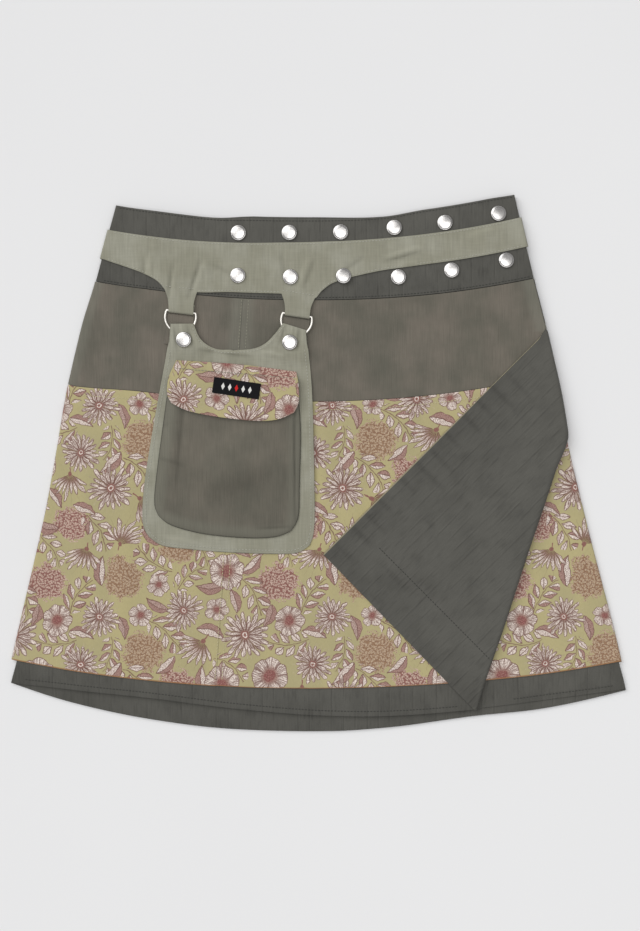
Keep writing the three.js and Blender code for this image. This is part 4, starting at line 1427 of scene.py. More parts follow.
def side_turn(
    side: Side, anchor: Array, middle: float, reach: float = math.inf
) -> tuple[Array, Array]:
    """The turn that rows end in at a side.

    From a row's end it goes round a quarter circle towards the fold's middle height, to the seam
    half-way up the side. A circle that is larger than the reach is made with the reach as its
    radius, and goes on straight to the seam.

    Args:
        side: left or right.
        anchor: the rows' end points.
        middle: the height at the middle of the fold.
        reach: the largest radius.

    Returns:
        The points [rows, steps, 3], and how far each lies past the row's end.
    """
    rise = np.abs(anchor[:, 2] - middle)[:, None]
    sign = np.sign(anchor[:, 2] - middle)[:, None]
    radius = np.minimum(rise, reach)
    seam = np.where(reach > rise, np.arcsin(HALF_GAP / rise), 0.0)
    angle = lerp(np.pi / 2, seam, np.linspace(0.0, 1.0, 8)[None, 1:])
    centre = anchor[:, 2:] - sign * radius
    plane = anchor[:, None, :2] + (radius * np.cos(angle))[..., None] * side.outward
    points = raised(plane, centre + sign * radius * np.sin(angle))
    past = radius * (np.pi / 2 - angle)
    if math.isfinite(reach):
        share = np.linspace(0.0, 1.0, 4)[None, 1:]
        foot = lerp(centre, middle + sign * HALF_GAP, share)
        down = raised(np.repeat(plane[:, -1:], 3, axis=1), foot)
        points = np.concatenate([points, down], axis=1)
        past = np.concatenate([past, past[:, -1:] + np.abs(foot - centre)], axis=1)
    return points, past


def sector_size(
    start: float, stop: float, top: AlongAngle, foot: AlongAngle
) -> tuple[float, float]:
    """Width and length of the rectangle round a ring's sector, in metres.

    The width is twice the outer radius times the sine of half the opening, and the length is the
    outer radius less the inner one times the cosine of half the opening.

    Args:
        start: the first angle.
        stop: the last angle.
        top: the inner radius by angle.
        foot: the outer radius by angle.

    Returns:
        The two sizes.
    """
    half = math.radians((stop - start) / 2)
    angles = np.linspace(start, stop, 9)
    outer, inner = float(foot(angles).max()), float(top(angles).min())
    return 2 * outer * math.sin(half) * MM, (outer - inner * math.cos(half)) * MM


@dataclass(frozen=True)
class Panel:
    """A panel between two edges, from side to side or between angles of its own."""

    top: AlongAngle
    foot: AlongAngle
    height: AlongAngle
    first: float | None = None
    last: float | None = None
    inset: float = SIDE_INSET
    dark: bool = False
    turns: dict[Side, float] = field(default_factory=dict)
    reach: float = math.inf
    spacing: float = 3.0

    @property
    def ends(self) -> tuple[float, float]:
        """The angles of its ends."""
        return (LEFT_SIDE if self.first is None else self.first,
                RIGHT_SIDE if self.last is None else self.last)

    def grid(self) -> Grid:
        """The panel's net: rows at even shares of the way down, columns by even angles."""
        start, stop = self.ends
        middle = np.array((start + stop) / 2)
        t = steps(float(self.foot(middle) - self.top(middle)), self.spacing)
        first = self.end(Side.LEFT, t) if self.first is None else start
        last = self.end(Side.RIGHT, t) if self.last is None else stop
        first, last = (np.broadcast_to(a, t.shape)[:, None] for a in (first, last))
        span = math.radians(stop - start) * float(self.foot(middle))
        angle = lerp(first, last, steps(span, self.spacing))
        radius = lerp(self.top(angle), self.foot(angle), t[:, None])
        points = raised(polar(angle, radius), self.height(angle))
        past = np.zeros(points.shape[:2])
        for side, fold_middle in self.turns.items():
            end = points[:, -1] if side is Side.RIGHT else points[:, 0]
            turned, gone = side_turn(side, end, fold_middle, self.reach)
            if side is Side.RIGHT:
                points, past = (
                    np.concatenate(pair, axis=1) for pair in ((points, turned), (past, gone))
                )
            else:
                points = np.concatenate([turned[:, ::-1], points], axis=1)
                past = np.concatenate([-gone[:, ::-1], past], axis=1)
        cloth = points[..., :2].copy()
        cloth[..., 0] += past
        fall_at = self.foot(angle[:, :1]) - self.top(angle[:, :1])
        reach = np.abs(cloth[..., 0] - cloth[:, :1, 0])
        to_side = np.minimum(reach, reach[:, -1:] - reach)
        return Grid(waved(points), cloth, (1 - t[:, None]) * fall_at, to_side)

    def end(self, side: Side, t: Array) -> Array:
        """The angle where rows end at a side, from their shares of the way down."""
        angle = np.array(side.angle)
        radius = lerp(self.top(angle), self.foot(angle), t)
        return side.dark(radius) if self.dark else side.inside(radius, self.inset)

    def flat(self) -> tuple[float, float]:
        """Width and length of the rectangle that the flat cut comes out of, in metres."""
        return sector_size(*self.ends, self.top, self.foot)


@dataclass
class Skirt:
    """The panels of the skirt, ply by ply from the table up."""

    wardrobe: Wardrobe
    hidden_spacing: float = 5.0

    def add(self, node: str, grids: Sequence[Grid], slot: Slot, flat: tuple[float, float],
            *rests_on: str, wall: float = STACK.wall, held: str = "laid") -> None:
        """Makes one cloth piece from its nets, in place of its solid in the frame.

        Args:
            node: the solid that it stands for, which gives it its name.
            grids: its nets.
            slot: its finish.
            flat: width and length of its cut, in metres.
            rests_on: what it lies on; not used.
            wall: its thickness.
            held: how it is held; not used.
        """
        piece = shell(f"{node}_cloth", grids, wall)
        self.wardrobe.dress(piece, slot)
        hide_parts(node)
        area = min(sum(g.area() for g in grids), flat[0] * flat[1])
        LOG.info("%s: %d faces, %.4f square metres", piece.name, len(piece.data.polygons), area)

    def add_panel(self, node: str, slot: Slot, panel: Panel, *rests_on: str,
                  wall: float = STACK.wall) -> None:
        """Makes the cloth of one panel."""
        self.add(node, [panel.grid()], slot, panel.flat(), *rests_on, wall=wall)

    def add_outside(self, part: str, under: str, top: float = 0.0, **options: Any) -> None:
        """Makes a part's yoke and print, with the same options and on the same piece."""
        yoke = Panel(YOKE_TOP, YOKE_FOOT, **options)
        flowers = Panel(PRINT_TOP, hem("print", top), **options)
        self.add_panel(f"{part}_yoke", Slot.TAUPE, yoke, under)
        self.add_panel(f"{part}_print", Slot.PRINT, flowers, under)

    def build_back(self) -> None:
        """The back: yoke and print face down on the table, with the dark side over them."""
        shared = {"spacing": self.hidden_spacing}
        turns = dict.fromkeys(Side, STACK.side_middle)
        self.add_outside("back", "floor", height=even(STACK.ply(0)), turns=turns, **shared)
        dark = Panel(YOKE_TOP, hem("back"), even(STACK.ply(1)), dark=True, **shared)
        self.add_panel("back_reverse", Slot.DARK, dark, "back_print", "back_yoke")

    def build_underlap(self) -> None:
        """The underlap, which turns round the right side between back and front."""
        shared = {"first": UNDERLAP_EDGE, "spacing": self.hidden_spacing}
        dark = Panel(YOKE_TOP, hem("front", -1), even(STACK.ply(2)), dark=True, **shared)
        self.add_panel("underlap_reverse", Slot.DARK, dark, "back_reverse")
        turns = {Side.RIGHT: STACK.side_middle}
        self.add_outside(
            "underlap", "underlap_reverse", -1, height=even(STACK.ply(3)), turns=turns, **shared
        )

    def build_front_left(self) -> None:
        """The narrow front panel, from the left side to the front seam."""
        self.add_outside(
            "front_left",
            "front_reverse",
            height=lifted(STACK.ply(3)),
            last=FRONT_SEAM - SEAM_TURN,
            turns={Side.LEFT: STACK.side_middle},
        )

    def build_waistband(self) -> None:
        """The waistband's back, underlap and front lengths."""
        foot = edge("band_foot", -HALF_GAP)
        shared = {"inset": BAND_INSET}
        lengths = {
            "back": Panel(edge("back_top"), foot, even(STACK.band_back), **shared),
            "underlap": Panel(
                edge("band_top", 0.5), foot, even(STACK.band_front), UNDERLAP_EDGE, **shared
            ),
            "front": Panel(edge("band_top"), foot, lifted(STACK.band_front), **shared),
        }
        under = "belt_back"
        for part, panel in lengths.items():
            node = f"waistband_{part}"
            self.add_panel(node, Slot.DARK, panel, under, wall=STACK.band_wall)
            under = node


# ---- The front with its turned-back corner ----


def free_edge_puckers() -> Relief:
    """Ridges that run in from the turned-back free edge, a little over 20 mm apart."""
    luck = np.random.default_rng(5)
    free = CORNER_TIP - CORNER_TOP
    length = float(np.hypot(*free))
    inward = np.array([-free[1], free[0]]) / length
    places = np.arange(30.0, length - 12.0, 21.0)
    creases = []
    for place in places + luck.uniform(-4.0, 4.0, len(places)):
        edge_point = CORNER_TOP + free * place / length
        reach = luck.uniform(20.0, 42.0)
        start, end = edge_point - inward * 9.0, edge_point + inward * reach
        creases.append((*start, *end, luck.uniform(0.7, 1.2), 2.2))
    return Relief(
        *creases,
        (58.0, -94.0, 84.0, -119.0, 0.9, 2.4),
        (47.0, -122.0, 63.0, -134.0, 0.9, 2.2),
        (98.0, -52.0, 110.0, -60.0, 0.8, 2.4),
    )


@dataclass
class TurnedFront:
    """The wide front panel and the dark side, whose corner folds back over the front.

    unrolled is the angle that the free edge has at the hem when it lies open, hem_angle that
    of the fold at the hem, and back_length the length of the longest row past the fold.
    """

    skirt: Skirt
    puckers: Relief = field(default_factory=free_edge_puckers)
    loft: float = 4.0
    settle: float = 45.0
    spacing: float = 2.7
    turn_steps: int = 14
    unrolled: float = 16.2
    hem_angle: float = 6.67
    back_length: float = 230.0

    def surface(self, radius: Array, way: Array, top: AlongAngle, foot: AlongAngle, ply: int,
                start: float | None) -> tuple[Array, Array, Array, Array]:
        """Points of a ply that runs to the fold, round it and back to the free edge.

        A row has one radius where it meets the fold. From 0 to 1 along it, it is level: its
        radius follows the panel's edges, drawn to the fold's own by the fourth power of the
        share. From 1 to 2 it goes round half a circle, whose size swells by the sine of the
        share down the fold. From 2 to 3 it goes straight to a point of the free edge and comes
        down to its ply by a smooth step. Above the fold's start the last two stretches lie
        level in the ends of the rows.

        Args:
            radius: of each row where it meets the fold, as a column.
            way: the place along the row, from 0 to 3.
            top: the panel's upper edge.
            foot: the panel's lower edge.
            ply: its number in the stack.
            start: the angle of its first edge, or None for the left side.

        Returns:
            Points, places on the flat cloth, shares of the way down and the puckers' painted
            shade, below 0 within a pucker, for radius and way broadcast together.
        """
        radius, way = np.broadcast_arrays(np.asarray(radius, float), np.asarray(way, float))
        end = FOLD.at("radius", "angle", radius)
        t = (radius - top(end)) / (foot(end) - top(end))

        def fold_point(at: Array) -> Array:
            """The fold's outline at a radius."""
            return polar(FOLD.at("radius", "angle", at), at)

        tangent = unit(fold_point(radius + 2.0) - fold_point(radius - 2.0))
        outward = np.stack([-tangent[..., 1], tangent[..., 0]], axis=-1)
        down = np.clip((radius - FOLD_START) / (FOLD_END - FOLD_START), 0.0, 1.0)
        outer = 1.5 * STACK.pitch + self.loft * np.sin(np.pi * down) / 2
        bend = outer - (ply - 4) * STACK.pitch
        centre = fold_point(radius) - outward * (outer + STACK.wall / 2)[..., None]
        last_angle, last_radius = to_polar(centre)

        left_radius = lerp(top(np.array(LEFT_SIDE)), foot(np.array(LEFT_SIDE)), t)
        first = Side.LEFT.dark(left_radius) if start is None else start
        share = np.clip(way, 0.0, 1.0)
        angle = lerp(first, last_angle, share)
        level_radius = lerp(top(angle), foot(angle), t)
        pull = last_radius - lerp(top(last_angle), foot(last_angle), t)
        level_plane = polar(angle, level_radius + pull * share**4)
        level = raised(level_plane, STACK.ply(ply - 2) + underlap_lift(angle))

        round_angle = np.pi * (np.clip(way, 1.0, 2.0) - 1.5)
        out = bend * np.cos(round_angle)
        turned_plane = centre + outward * out[..., None]
        turned_height = STACK.ply(ply) + bend + bend * np.sin(round_angle)

        free_unit = (CORNER_TIP - CORNER_TOP) / np.linalg.norm(CORNER_TIP - CORNER_TOP)
        reach = FOLD.at("radius", "reach", radius)
        target = CORNER_TOP + free_unit * reach[..., None]
        home = np.clip(way, 2.0, 3.0)[..., None] - 2.0
        back_plane = lerp(centre, target, home)
        gone = np.linalg.norm(back_plane - centre, axis=-1)
        settled = smoothstep(gone, 0.0, self.settle)
        back_height = lerp(STACK.ply(ply) + 2 * bend, STACK.ply(11 - ply), settled)
        relief = self.puckers.at(back_plane) * settled
        back_height += relief

        curled = raised(turned_plane, turned_height)
        curled = np.where((way > 2.0)[..., None], raised(back_plane, back_height), curled)
        tail = np.clip(way - 1.0, 0.0, 2.0) / 2.0 * SIDE_INSET * 0.8
        level[..., :2] += outward * tail[..., None]
        folded = smoothstep(radius, FOLD_START - 3.0, FOLD_START + 0.5)[..., None]
        points = np.where((way > 1.0)[..., None], lerp(level, curled, folded), level)

        from_edge = points[..., :2] - CORNER_TOP
        along = from_edge @ free_unit
        aside = from_edge @ np.array([free_unit[1], -free_unit[0]])
        corner = np.stack([aside, -along], axis=-1)
        cloth = np.where((way > 1.5)[..., None], corner, points[..., :2])
        # the puckers' heights turned below 0, for the finishes to paint as shade
        return points, cloth, t, np.where(way > 2.0, -relief, 0.0)

    def grid(self, top: AlongAngle, foot: AlongAngle, ply: int, start: float | None) -> Grid:
        """The net of one ply of the front, folded corner and all."""
        first_radius = float(top(np.array(RIGHT_SIDE)))
        last_radius = float(foot(np.array(self.hem_angle)))
        radii = lerp(first_radius, last_radius, steps(last_radius - first_radius, self.spacing))
        begin = LEFT_SIDE if start is None else start
        span = math.radians(RIGHT_SIDE - begin) * last_radius
        level = steps(span, self.spacing)
        round_way = 1.0 + steps(self.turn_steps, 1.0)[1:]
        back_way = 2.0 + steps(self.back_length, self.spacing)[1:] ** 1.15
        way = np.concatenate([level, round_way, back_way])
        points, cloth, t, relief = self.surface(radii[:, None], way[None], top, foot, ply, start)
        last_angle = FOLD.at("radius", "angle", radii)[:, None]
        to_foot = (1 - t) * (foot(last_angle) - top(last_angle))
        length = np.linalg.norm(np.diff(points, axis=1), axis=-1)
        gone = np.concatenate([np.zeros((len(radii), 1)), np.cumsum(length, axis=1)], axis=1)
        to_side = np.minimum(gone, gone[:, -1:] - gone)
        return Grid(waved(points), cloth, to_foot, to_side, relief)

    def build(self) -> None:
        """The dark side, then the yoke and the print over it."""
        seam = FRONT_SEAM + SEAM_TURN
        pieces = (
            ("front_reverse", YOKE_TOP, hem("front"), 4, None, Slot.DARK, "underlap_print"),
            ("front_right_yoke", YOKE_TOP, YOKE_FOOT, 5, seam, Slot.TAUPE, "front_reverse"),
            ("front_right_print", PRINT_TOP, hem("print"), 5, seam, Slot.PRINT, "front_reverse"),
        )
        for node, top, foot, ply, start, slot, under in pieces:
            first = LEFT_SIDE if start is None else start
            flat = sector_size(first, self.unrolled, top, foot)
            grid = self.grid(top, foot, ply, start)
            self.skirt.add(node, [grid], slot, flat, under, held="folded")


# ---- The belt, its rings and the loops ----


@dataclass(frozen=True)
class Frame:
    """A small piece's own frame on the skirt: its origin, and its turn in degrees."""

    x: float
    y: float
    turn: float

    def place(self, across: Array | float, up: Array | float) -> Array:
        """Plane points from places across and up in the frame."""
        spin = math.radians(self.turn)
        x = self.x + across * math.cos(spin) - up * math.sin(spin)
        y = self.y + across * math.sin(spin) + up * math.cos(spin)
        return np.stack(np.broadcast_arrays(x, y), axis=-1)


@dataclass(frozen=True)
class Ring(Frame):
    """A D-ring: its frame, its side, and the belt's angles above its tab."""

    side: str
    start: float
    stop: float


RINGS = (
    Ring(-130.4, 138.5, -7.0, "left", -8.61, -6.72),
    Ring(-20.8, 135.4, -8.4, "right", -1.83, 0.12),
)


def slanted(left: float, right: float) -> AlongAngle:
    """A radius that goes evenly from its value at the left side to that at the right."""
    return lambda angle: lerp(left, right, (angle - LEFT_SIDE) / (RIGHT_SIDE - LEFT_SIDE))


@dataclass
class Belt:
    """The sage belt round the skirt, with two tabs in front that hold the D-rings."""

    skirt: Skirt
    spacing: float = 1.5
    mean_radius: float = 910.0
    tab_half: float = 11.9
    tab_length: float = 30.0
    tab_waist: float = 2.4
    tab_return: float = 8.0
    ring_bar: float = 5.0
    ring_radius: float = 14.6
    loop_half: float = 12.6
    loop_top: float = 2.0
    loop_foot: float = -27.0
    creases: Relief = Relief(
        (-165, 196, -168, 158, -1.0, 2.0),
        (-159, 199, -163, 160, 1.0, 2.6),
        (-138, 192, -143, 150, -1.3, 1.8),
        (-133, 190, -138, 156, 1.1, 2.4),
        (-111, 194, -124, 154, -1.4, 1.8),
        (-106, 193, -118, 158, 1.2, 2.6),
        (-102, 188, -80, 178, -0.8, 2.0),
        (-250, 190, -205, 181, 0.9, 3.2),
        (-240, 182, -200, 172, -0.8, 2.4),
        (-262, 178, -236, 186, 0.9, 2.6),
        (62, 194, 100, 205, 1.3, 2.4),
        (60, 190, 98, 200, -1.2, 1.9),
        (74, 188, 96, 190, 0.8, 2.0),
        (20, 178, 44, 196, -1.0, 2.2),
        (-78, 190, -72, 166, 1.0, 3.6),
        (-36, 200, -30, 168, -0.9, 2.4),
        (-8, 196, -20, 162, 1.1, 2.6),
        (-3, 194, -14, 164, -1.0, 2.0),
        (140, 214, 168, 222, 0.9, 3.0),
        (196, 216, 212, 232, -0.8, 2.2),
    )

    def tab(self, ring: Ring, share: Array, begin: Array) -> Array:
        """A tab's rows: down to the ring's bar, round it and back under.

        Args:
            ring: that it holds.
            share: of each column across the tab.
            begin: the belt's foot at each column.

        Returns:
            Points [rows, columns, 3], from the belt's foot on.
        """
        across = lerp(-self.tab_half, self.tab_half, share)
        bar = ring.place(across, self.ring_bar)
        v = steps(self.tab_length, self.spacing)[:, None]
        plane = lerp(begin[None, :, :2], bar[None], v[..., None])
        plane[..., 0] += np.sin(np.pi * v) * (share[None] - 0.5) * -self.tab_waist
        height = lerp(begin[None, :, 2], STACK.over_ring, smoothstep(v, 0.0, 0.85))
        down = raised(plane, height)
        radius = (STACK.over_ring - STACK.on_front) / 2
        angle = np.linspace(np.pi / 2, -np.pi / 2, 13)[1:]
        below = ring.place(0.0, -1.0) - ring.place(0.0, 0.0)
        round_plane = bar[None] + (radius * np.cos(angle))[:, None, None] * below
        turned = raised(round_plane, (STACK.ring + radius * np.sin(angle))[:, None])
        back = lerp(0.0, self.tab_return, steps(8, 2)[1:])[:, None]
        under = raised(ring.place(across, self.ring_bar + back), STACK.on_front)
        return np.concatenate([down, turned, under])

    def grids(self) -> list[Grid]:
        """The belt's strip with its side turns, and its two tabs."""
        tab_ends = [angle for ring in RINGS for angle in (ring.start, ring.stop)]
        stops = [LEFT_SIDE, *tab_ends, RIGHT_SIDE]
        pieces = [
            lerp(a, b, steps(math.radians(b - a) * self.mean_radius, self.spacing))
            for a, b in zip(stops[:-1], stops[1:])
        ]
        angles = np.concatenate([pieces[0]] + [p[1:] for p in pieces[1:]])
        t = steps(34.0, self.spacing)[:, None]
        radius = lerp(belt_edge("top")(angles), belt_edge("foot")(angles), t)
        shifted = np.broadcast_to(angles, radius.shape).copy()
        shifted[:, 0] = Side.LEFT.inside(radius[:, 0], BELT_INSET)
        shifted[:, -1] = Side.RIGHT.inside(radius[:, -1], BELT_INSET)
        strip = raised(polar(shifted, radius), STACK.belt(angles))
        tabs = []
        for ring in RINGS:
            held = (angles > ring.start - 1e-6) & (angles < ring.stop + 1e-6)
            share = (angles[held] - ring.start) / (ring.stop - ring.start)
            tabs.append(self.tab(ring, share, strip[-1, held]))
        left, right = (
            side_turn(side, strip[:, end], middle, BELT_REACH)[0]
            for (side, middle), end in zip(self.middles().items(), (0, -1))
        )
        strip = np.concatenate([left[:, ::-1], strip, right], axis=1)
        return [self.creased(points) for points in (strip, *tabs)]

    def middles(self) -> dict[Side, float]:
        """The heights half-way between the belt's front and back at both sides."""
        return {side: (float(STACK.belt(side.angle)) + STACK.wall / 2) / 2 for side in Side}

    def creased(self, points: Array) -> Grid:
        """A net of the belt with its creases pressed in where it faces up."""
        upper = smoothstep(points[..., 2], 6.0, 6.6)
        points = points.copy()
        relief = self.creases.at(points) * upper
        points[..., 2] += relief
        angle, radius = to_polar(points[..., :2])
        top = radius - belt_edge("top")(angle)
        foot = belt_edge("foot")(angle) - radius
        to_side = np.minimum(np.maximum(top, 0.0), np.where(foot > 0, foot, FAR))
        return Grid(waved(points), points[..., :2].copy(), FAR, to_side, relief)

    def build(self) -> None:
        """The belt's front and back, the rings and the loops that lie in them."""
        flat = math.radians(RIGHT_SIDE - LEFT_SIDE) * 900 * MM, 0.108
        self.skirt.add("belt_front", self.grids(), Slot.SAGE, flat, "waistband_front")
        back = Panel(
            slanted(890.8, 880.3),
            slanted(919.2, 908.6),
            even(STACK.wall / 2),
            inset=BELT_INSET,
            turns=self.middles(),
            reach=BELT_REACH,
        )
        self.skirt.add_panel("belt_back", Slot.SAGE, back, "floor")
        for ring in RINGS:
            self.build_ring(ring)
            self.build_loop(ring)

    def build_ring(self, ring: Ring) -> None:
        """A D-ring of round wire: a straight bar and a bow."""
        bar_angle = math.asin(self.ring_bar / self.ring_radius)
        half_bar = self.ring_radius * math.cos(bar_angle)
        bow = np.linspace(np.pi - bar_angle, 2 * np.pi + bar_angle, 60)
        bar = np.linspace(half_bar, -half_bar, 22)[1:-1]
        across = np.concatenate([self.ring_radius * np.cos(bow), bar])
        up = np.concatenate([self.ring_radius * np.sin(bow), np.full_like(bar, self.ring_bar)])
        path = waved(raised(ring.place(across, up), STACK.ring))
        piece = tube(f"d_ring_{ring.side}_wire", path, STACK.ring_wire / 2 + 0.18)
        self.skirt.wardrobe.dress(piece, Slot.WIRE)
        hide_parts(f"d_ring_{ring.side}")
        LOG.info("%s: round wire", piece.name)

    def build_loop(self, ring: Ring) -> None:
        """The board's loop, a short strip under its ear that lies inside the ring."""
        up = lerp(self.loop_top, self.loop_foot, steps(29.0, 2.0))[:, None]
        across = lerp(-self.loop_half, self.loop_half, steps(25.2, 2.0))[None]
        plane = ring.place(across, up)
        grid = Grid(waved(raised(plane, STACK.on_front)), plane, up - self.loop_foot)
        node, flat = f"ring_loop_{ring.side}", (0.0252, 0.029)
        self.skirt.add(node, [grid], Slot.TAUPE, flat, "front_right_yoke_cloth")


# ---- The pouch on its board ----


def spline(points: Sequence[PlanePoint], share: Array) -> Array:
    """A smooth curve through plane points, the same share of it from each to the next.

    Between two points it is the cubic whose tangents are half the difference of the points on
    both sides, with the end points standing in for those beyond them.
    """
    p = np.array(points, float)
    place = np.clip(share, 0.0, 1.0) * (len(p) - 1)
    i = np.minimum(place.astype(int), len(p) - 2)
    t = (place - i)[..., None]
    before, a, b, after = p[np.maximum(i - 1, 0)], p[i], p[i + 1], p[np.minimum(i + 2, len(p) - 1)]
    leave, arrive = (b - before) / 2, (after - a) / 2
    rise = t * t * (3 - 2 * t)
    return lerp(a, b, rise) + t * (1 - t) ** 2 * leave - t * t * (1 - t) * arrive


@dataclass(frozen=True)
class Outline:
    """Four edge curves of a patch, each a short list of points, left to right or foot to top."""

    foot: Sequence[PlanePoint]
    top: Sequence[PlanePoint]
    left: Sequence[PlanePoint]
    right: Sequence[PlanePoint]

    def plane(self, u: Array, v: Array) -> Array:
        """Points of the patch from shares across and up.

        The four edges are blended: foot and top by the share up, left and right by the share
        across, less the four corners blended by both.
        """
        u, v = np.broadcast_arrays(u, v)
        a, b = u[..., None], v[..., None]
        edges = lerp(spline(self.foot, u), spline(self.top, u), b)
        edges = edges + lerp(spline(self.left, v), spline(self.right, v), a)
        foot = lerp(np.array(self.foot[0], float), np.array(self.foot[-1], float), a)
        top = lerp(np.array(self.top[0], float), np.array(self.top[-1], float), a)
        return edges - lerp(foot, top, b)

    def rim(self, inset: float, start: float, stop: float, names: str) -> Array:
        """A line inside some of the edges, all at one distance from them.

        Args:
            inset: the distance.
            start: share of the first edge where the line begins.
            stop: share of the last edge where it ends.
            names: the edges in order. One with a minus before it is run backwards.

        Returns:
            Plane points.
        """
        runs = []
        order = names.split()
        for n, name in enumerate(order):
            low = start if n == 0 else 0.0
            high = stop if n == len(order) - 1 else 1.0
            share = np.linspace(low, high, 60)
            backwards = name.startswith("-")
            runs.append(spline(getattr(self, name.lstrip("-")), 1 - share if backwards else share))
        line = np.concatenate(runs)
        along = unit(np.gradient(line, axis=0))
        kept = np.concatenate([[True], np.linalg.norm(np.diff(line, axis=0), axis=1) > 1e-3])
        inward = np.stack([-along[:, 1], along[:, 0]], axis=-1)
        return (line + inset * inward)[kept]


@dataclass
class Pocket:
    """The hanging pouch: a sage board with two ears, the pouch, its flap and the label."""

    skirt: Skirt
    spacing: float = 1.4
    ear_flat: float = 29.0
    ear_ramp: float = 18.0
    ear_length: float = 26.0
    board_size: PlanePoint = (150.0, 185.0)
    pouch_size: PlanePoint = (135.0, 145.0)
    flap_size: PlanePoint = (122.0, 52.0)
    loft: float = 3.2
    board: Outline = Outline(
        foot=((-160.5, -69.5), (-147.4, -77.7), (-122.8, -81.0), (-82.0, -84.3),
              (-33.0, -85.6), (-17.5, -83.4), (-8.0, -77.0)),
        top=((-143.1, 107.4), (-80.0, 106.9), (-9.6, 107.6)),
        left=((-160.5, -69.5), (-166.3, -55.0), (-164.6, -18.8), (-155.6, 38.5), (-143.1, 107.4)),
        right=((-8.0, -77.0), (-4.2, -62.0), (-3.8, -27.1), (-5.9, 63.0), (-9.6, 107.6)),
    )
    left_ear: tuple[Sequence[PlanePoint], Sequence[PlanePoint]] = (
        ((-143.1, 107.4), (-141.1, 116.7), (-140.0, 132.0)),
        ((-80.0, 106.9), (-94.1, 107.5), (-105.4, 112.2), (-112.7, 119.7), (-117.8, 132.1)),
    )
    right_ear: tuple[Sequence[PlanePoint], Sequence[PlanePoint]] = (
        ((-80.0, 106.9), (-61.0, 108.8), (-48.8, 114.6), (-40.4, 123.7), (-33.4, 132.6)),
        ((-9.6, 107.6), (-10.6, 112.6), (-11.7, 125.9)),
    )
    pouch: Outline = Outline(
        foot=((-151.5, -48.8), (-140.9, -57.3), (-121.2, -63.8), (-98.3, -67.9),
              (-65.6, -70.4), (-41.0, -69.3), (-26.0, -63.8)),
        top=((-141.5, 76.0), (-80.0, 74.0), (-19.5, 72.0)),
        left=((-151.5, -48.8), (-155.1, -35.2), (-152.0, -2.4), (-146.6, 38.5), (-141.5, 76.0)),
        right=((-26.0, -63.8), (-19.0, -49.9), (-17.9, -18.8), (-16.8, 30.0), (-19.5, 72.0)),
    )
    flap: Outline = Outline(
        foot=((-138.6, 56.8), (-126.1, 50.6), (-110.7, 46.6), (-87.9, 42.9),
              (-57.5, 40.1), (-38.0, 41.6), (-23.0, 47.9)),
        top=((-134.3, 97.6), (-98.3, 95.5), (-67.4, 92.9), (-21.0, 86.7)),
        left=((-138.6, 56.8), (-142.8, 66.0), (-141.1, 82.7), (-134.3, 97.6)),
        right=((-23.0, 47.9), (-18.7, 58.0), (-18.8, 74.0), (-21.0, 86.7)),
    )
    flap_from: float = 86.0
    flap_to: float = 76.0
    label: Frame = Frame(-77.3, 70.9, -8.3)
    label_size: PlanePoint = (44.6, 15.0)
    board_lift: Relief = Relief((-8, 94, -4, -64, 2.4, 4.5))
    flap_lift: Relief = Relief(
        (-148, 58, -84, 41, 1.6, 5.0), (-100, 44, -18, 42, 1.8, 5.0)
    )
    board_creases: Relief = Relief(
        (-136, 130, -133, 104, -1.1, 1.5),
        (-130, 132, -128, 122, 0.9, 1.4),
        (-124, 131, -119, 108, -1.1, 1.5),
        (-119, 124, -112, 108, 0.8, 1.8),
        (-112, 113, -86, 101, 1.2, 2.6),
        (-116, 107, -60, 100, -1.0, 1.9),
        (-95, 106, -60, 104, 1.0, 1.8),
        (-56, 106, -30, 101, 0.9, 2.0),
        (-18, 129, -20, 106, -1.1, 1.5),
        (-25, 130, -25, 120, 0.9, 1.4),
        (-31, 131, -37, 110, -1.1, 1.5),
        (-42, 118, -52, 108, 0.8, 1.8),
        (-150, 96, -158, -10, 0.8, 3.0),
        (-150, -68, -100, -79, 0.7, 2.4),
    )
    pouch_creases: Relief = Relief(
        (-126.8, 62.0, -132.0, 2.0, -1.1, 1.8),
        (-122.0, 60.0, -126.0, 14.0, 1.0, 2.8),
        (-131.0, 30.0, -134.4, -36.0, -0.9, 2.0),
        (-154.0, 6.0, -124.0, -3.0, -0.9, 1.9),
        (-154.0, 34.0, -128.0, 40.0, -0.6, 1.8),
        (-136.0, 60.0, -142.0, 0.0, 1.2, 4.5),
        (-60.0, 30.0, -110.0, -6.0, 1.2, 12.0),
        (-40.0, -10.0, -110.0, -34.0, -1.1, 10.0),
        (-23.0, 80.0, -22.0, -62.0, -1.9, 1.3),
        (-60.0, -62.0, -22.0, -60.0, -1.0, 1.6),
    )
    flap_creases: Relief = Relief(
        (-142, 90, -16, 78, -0.9, 1.5),
        (-120, 98, -122, 84, 0.7, 2.0),
        (-104, 97, -103, 82, 0.8, 2.2),
        (-86, 95, -88, 81, 0.7, 2.0),
        (-64, 94, -62, 79, 0.8, 2.2),
        (-46, 92, -48, 77, 0.7, 2.0),
        (-32, 90, -30, 75, 0.8, 2.0),
        (-132, 70, -112, 54, 0.8, 5.0),
        (-50, 62, -28, 52, 0.7, 5.0),
    )

    def board_height(self, plane: Array) -> Array:
        """The board's mid-surface: flat on the skirt, and lifted over the wire at each ring."""
        lifts = [
            1.0 - smoothstep(np.hypot(plane[..., 0] - ring.x, plane[..., 1] - ring.y),
                             self.ear_flat, self.ear_flat + self.ear_ramp)
            for ring in RINGS
        ]
        over = lerp(STACK.on_front, STACK.over_ring, np.maximum(*lifts))
        return over + self.board_lift.at(plane)

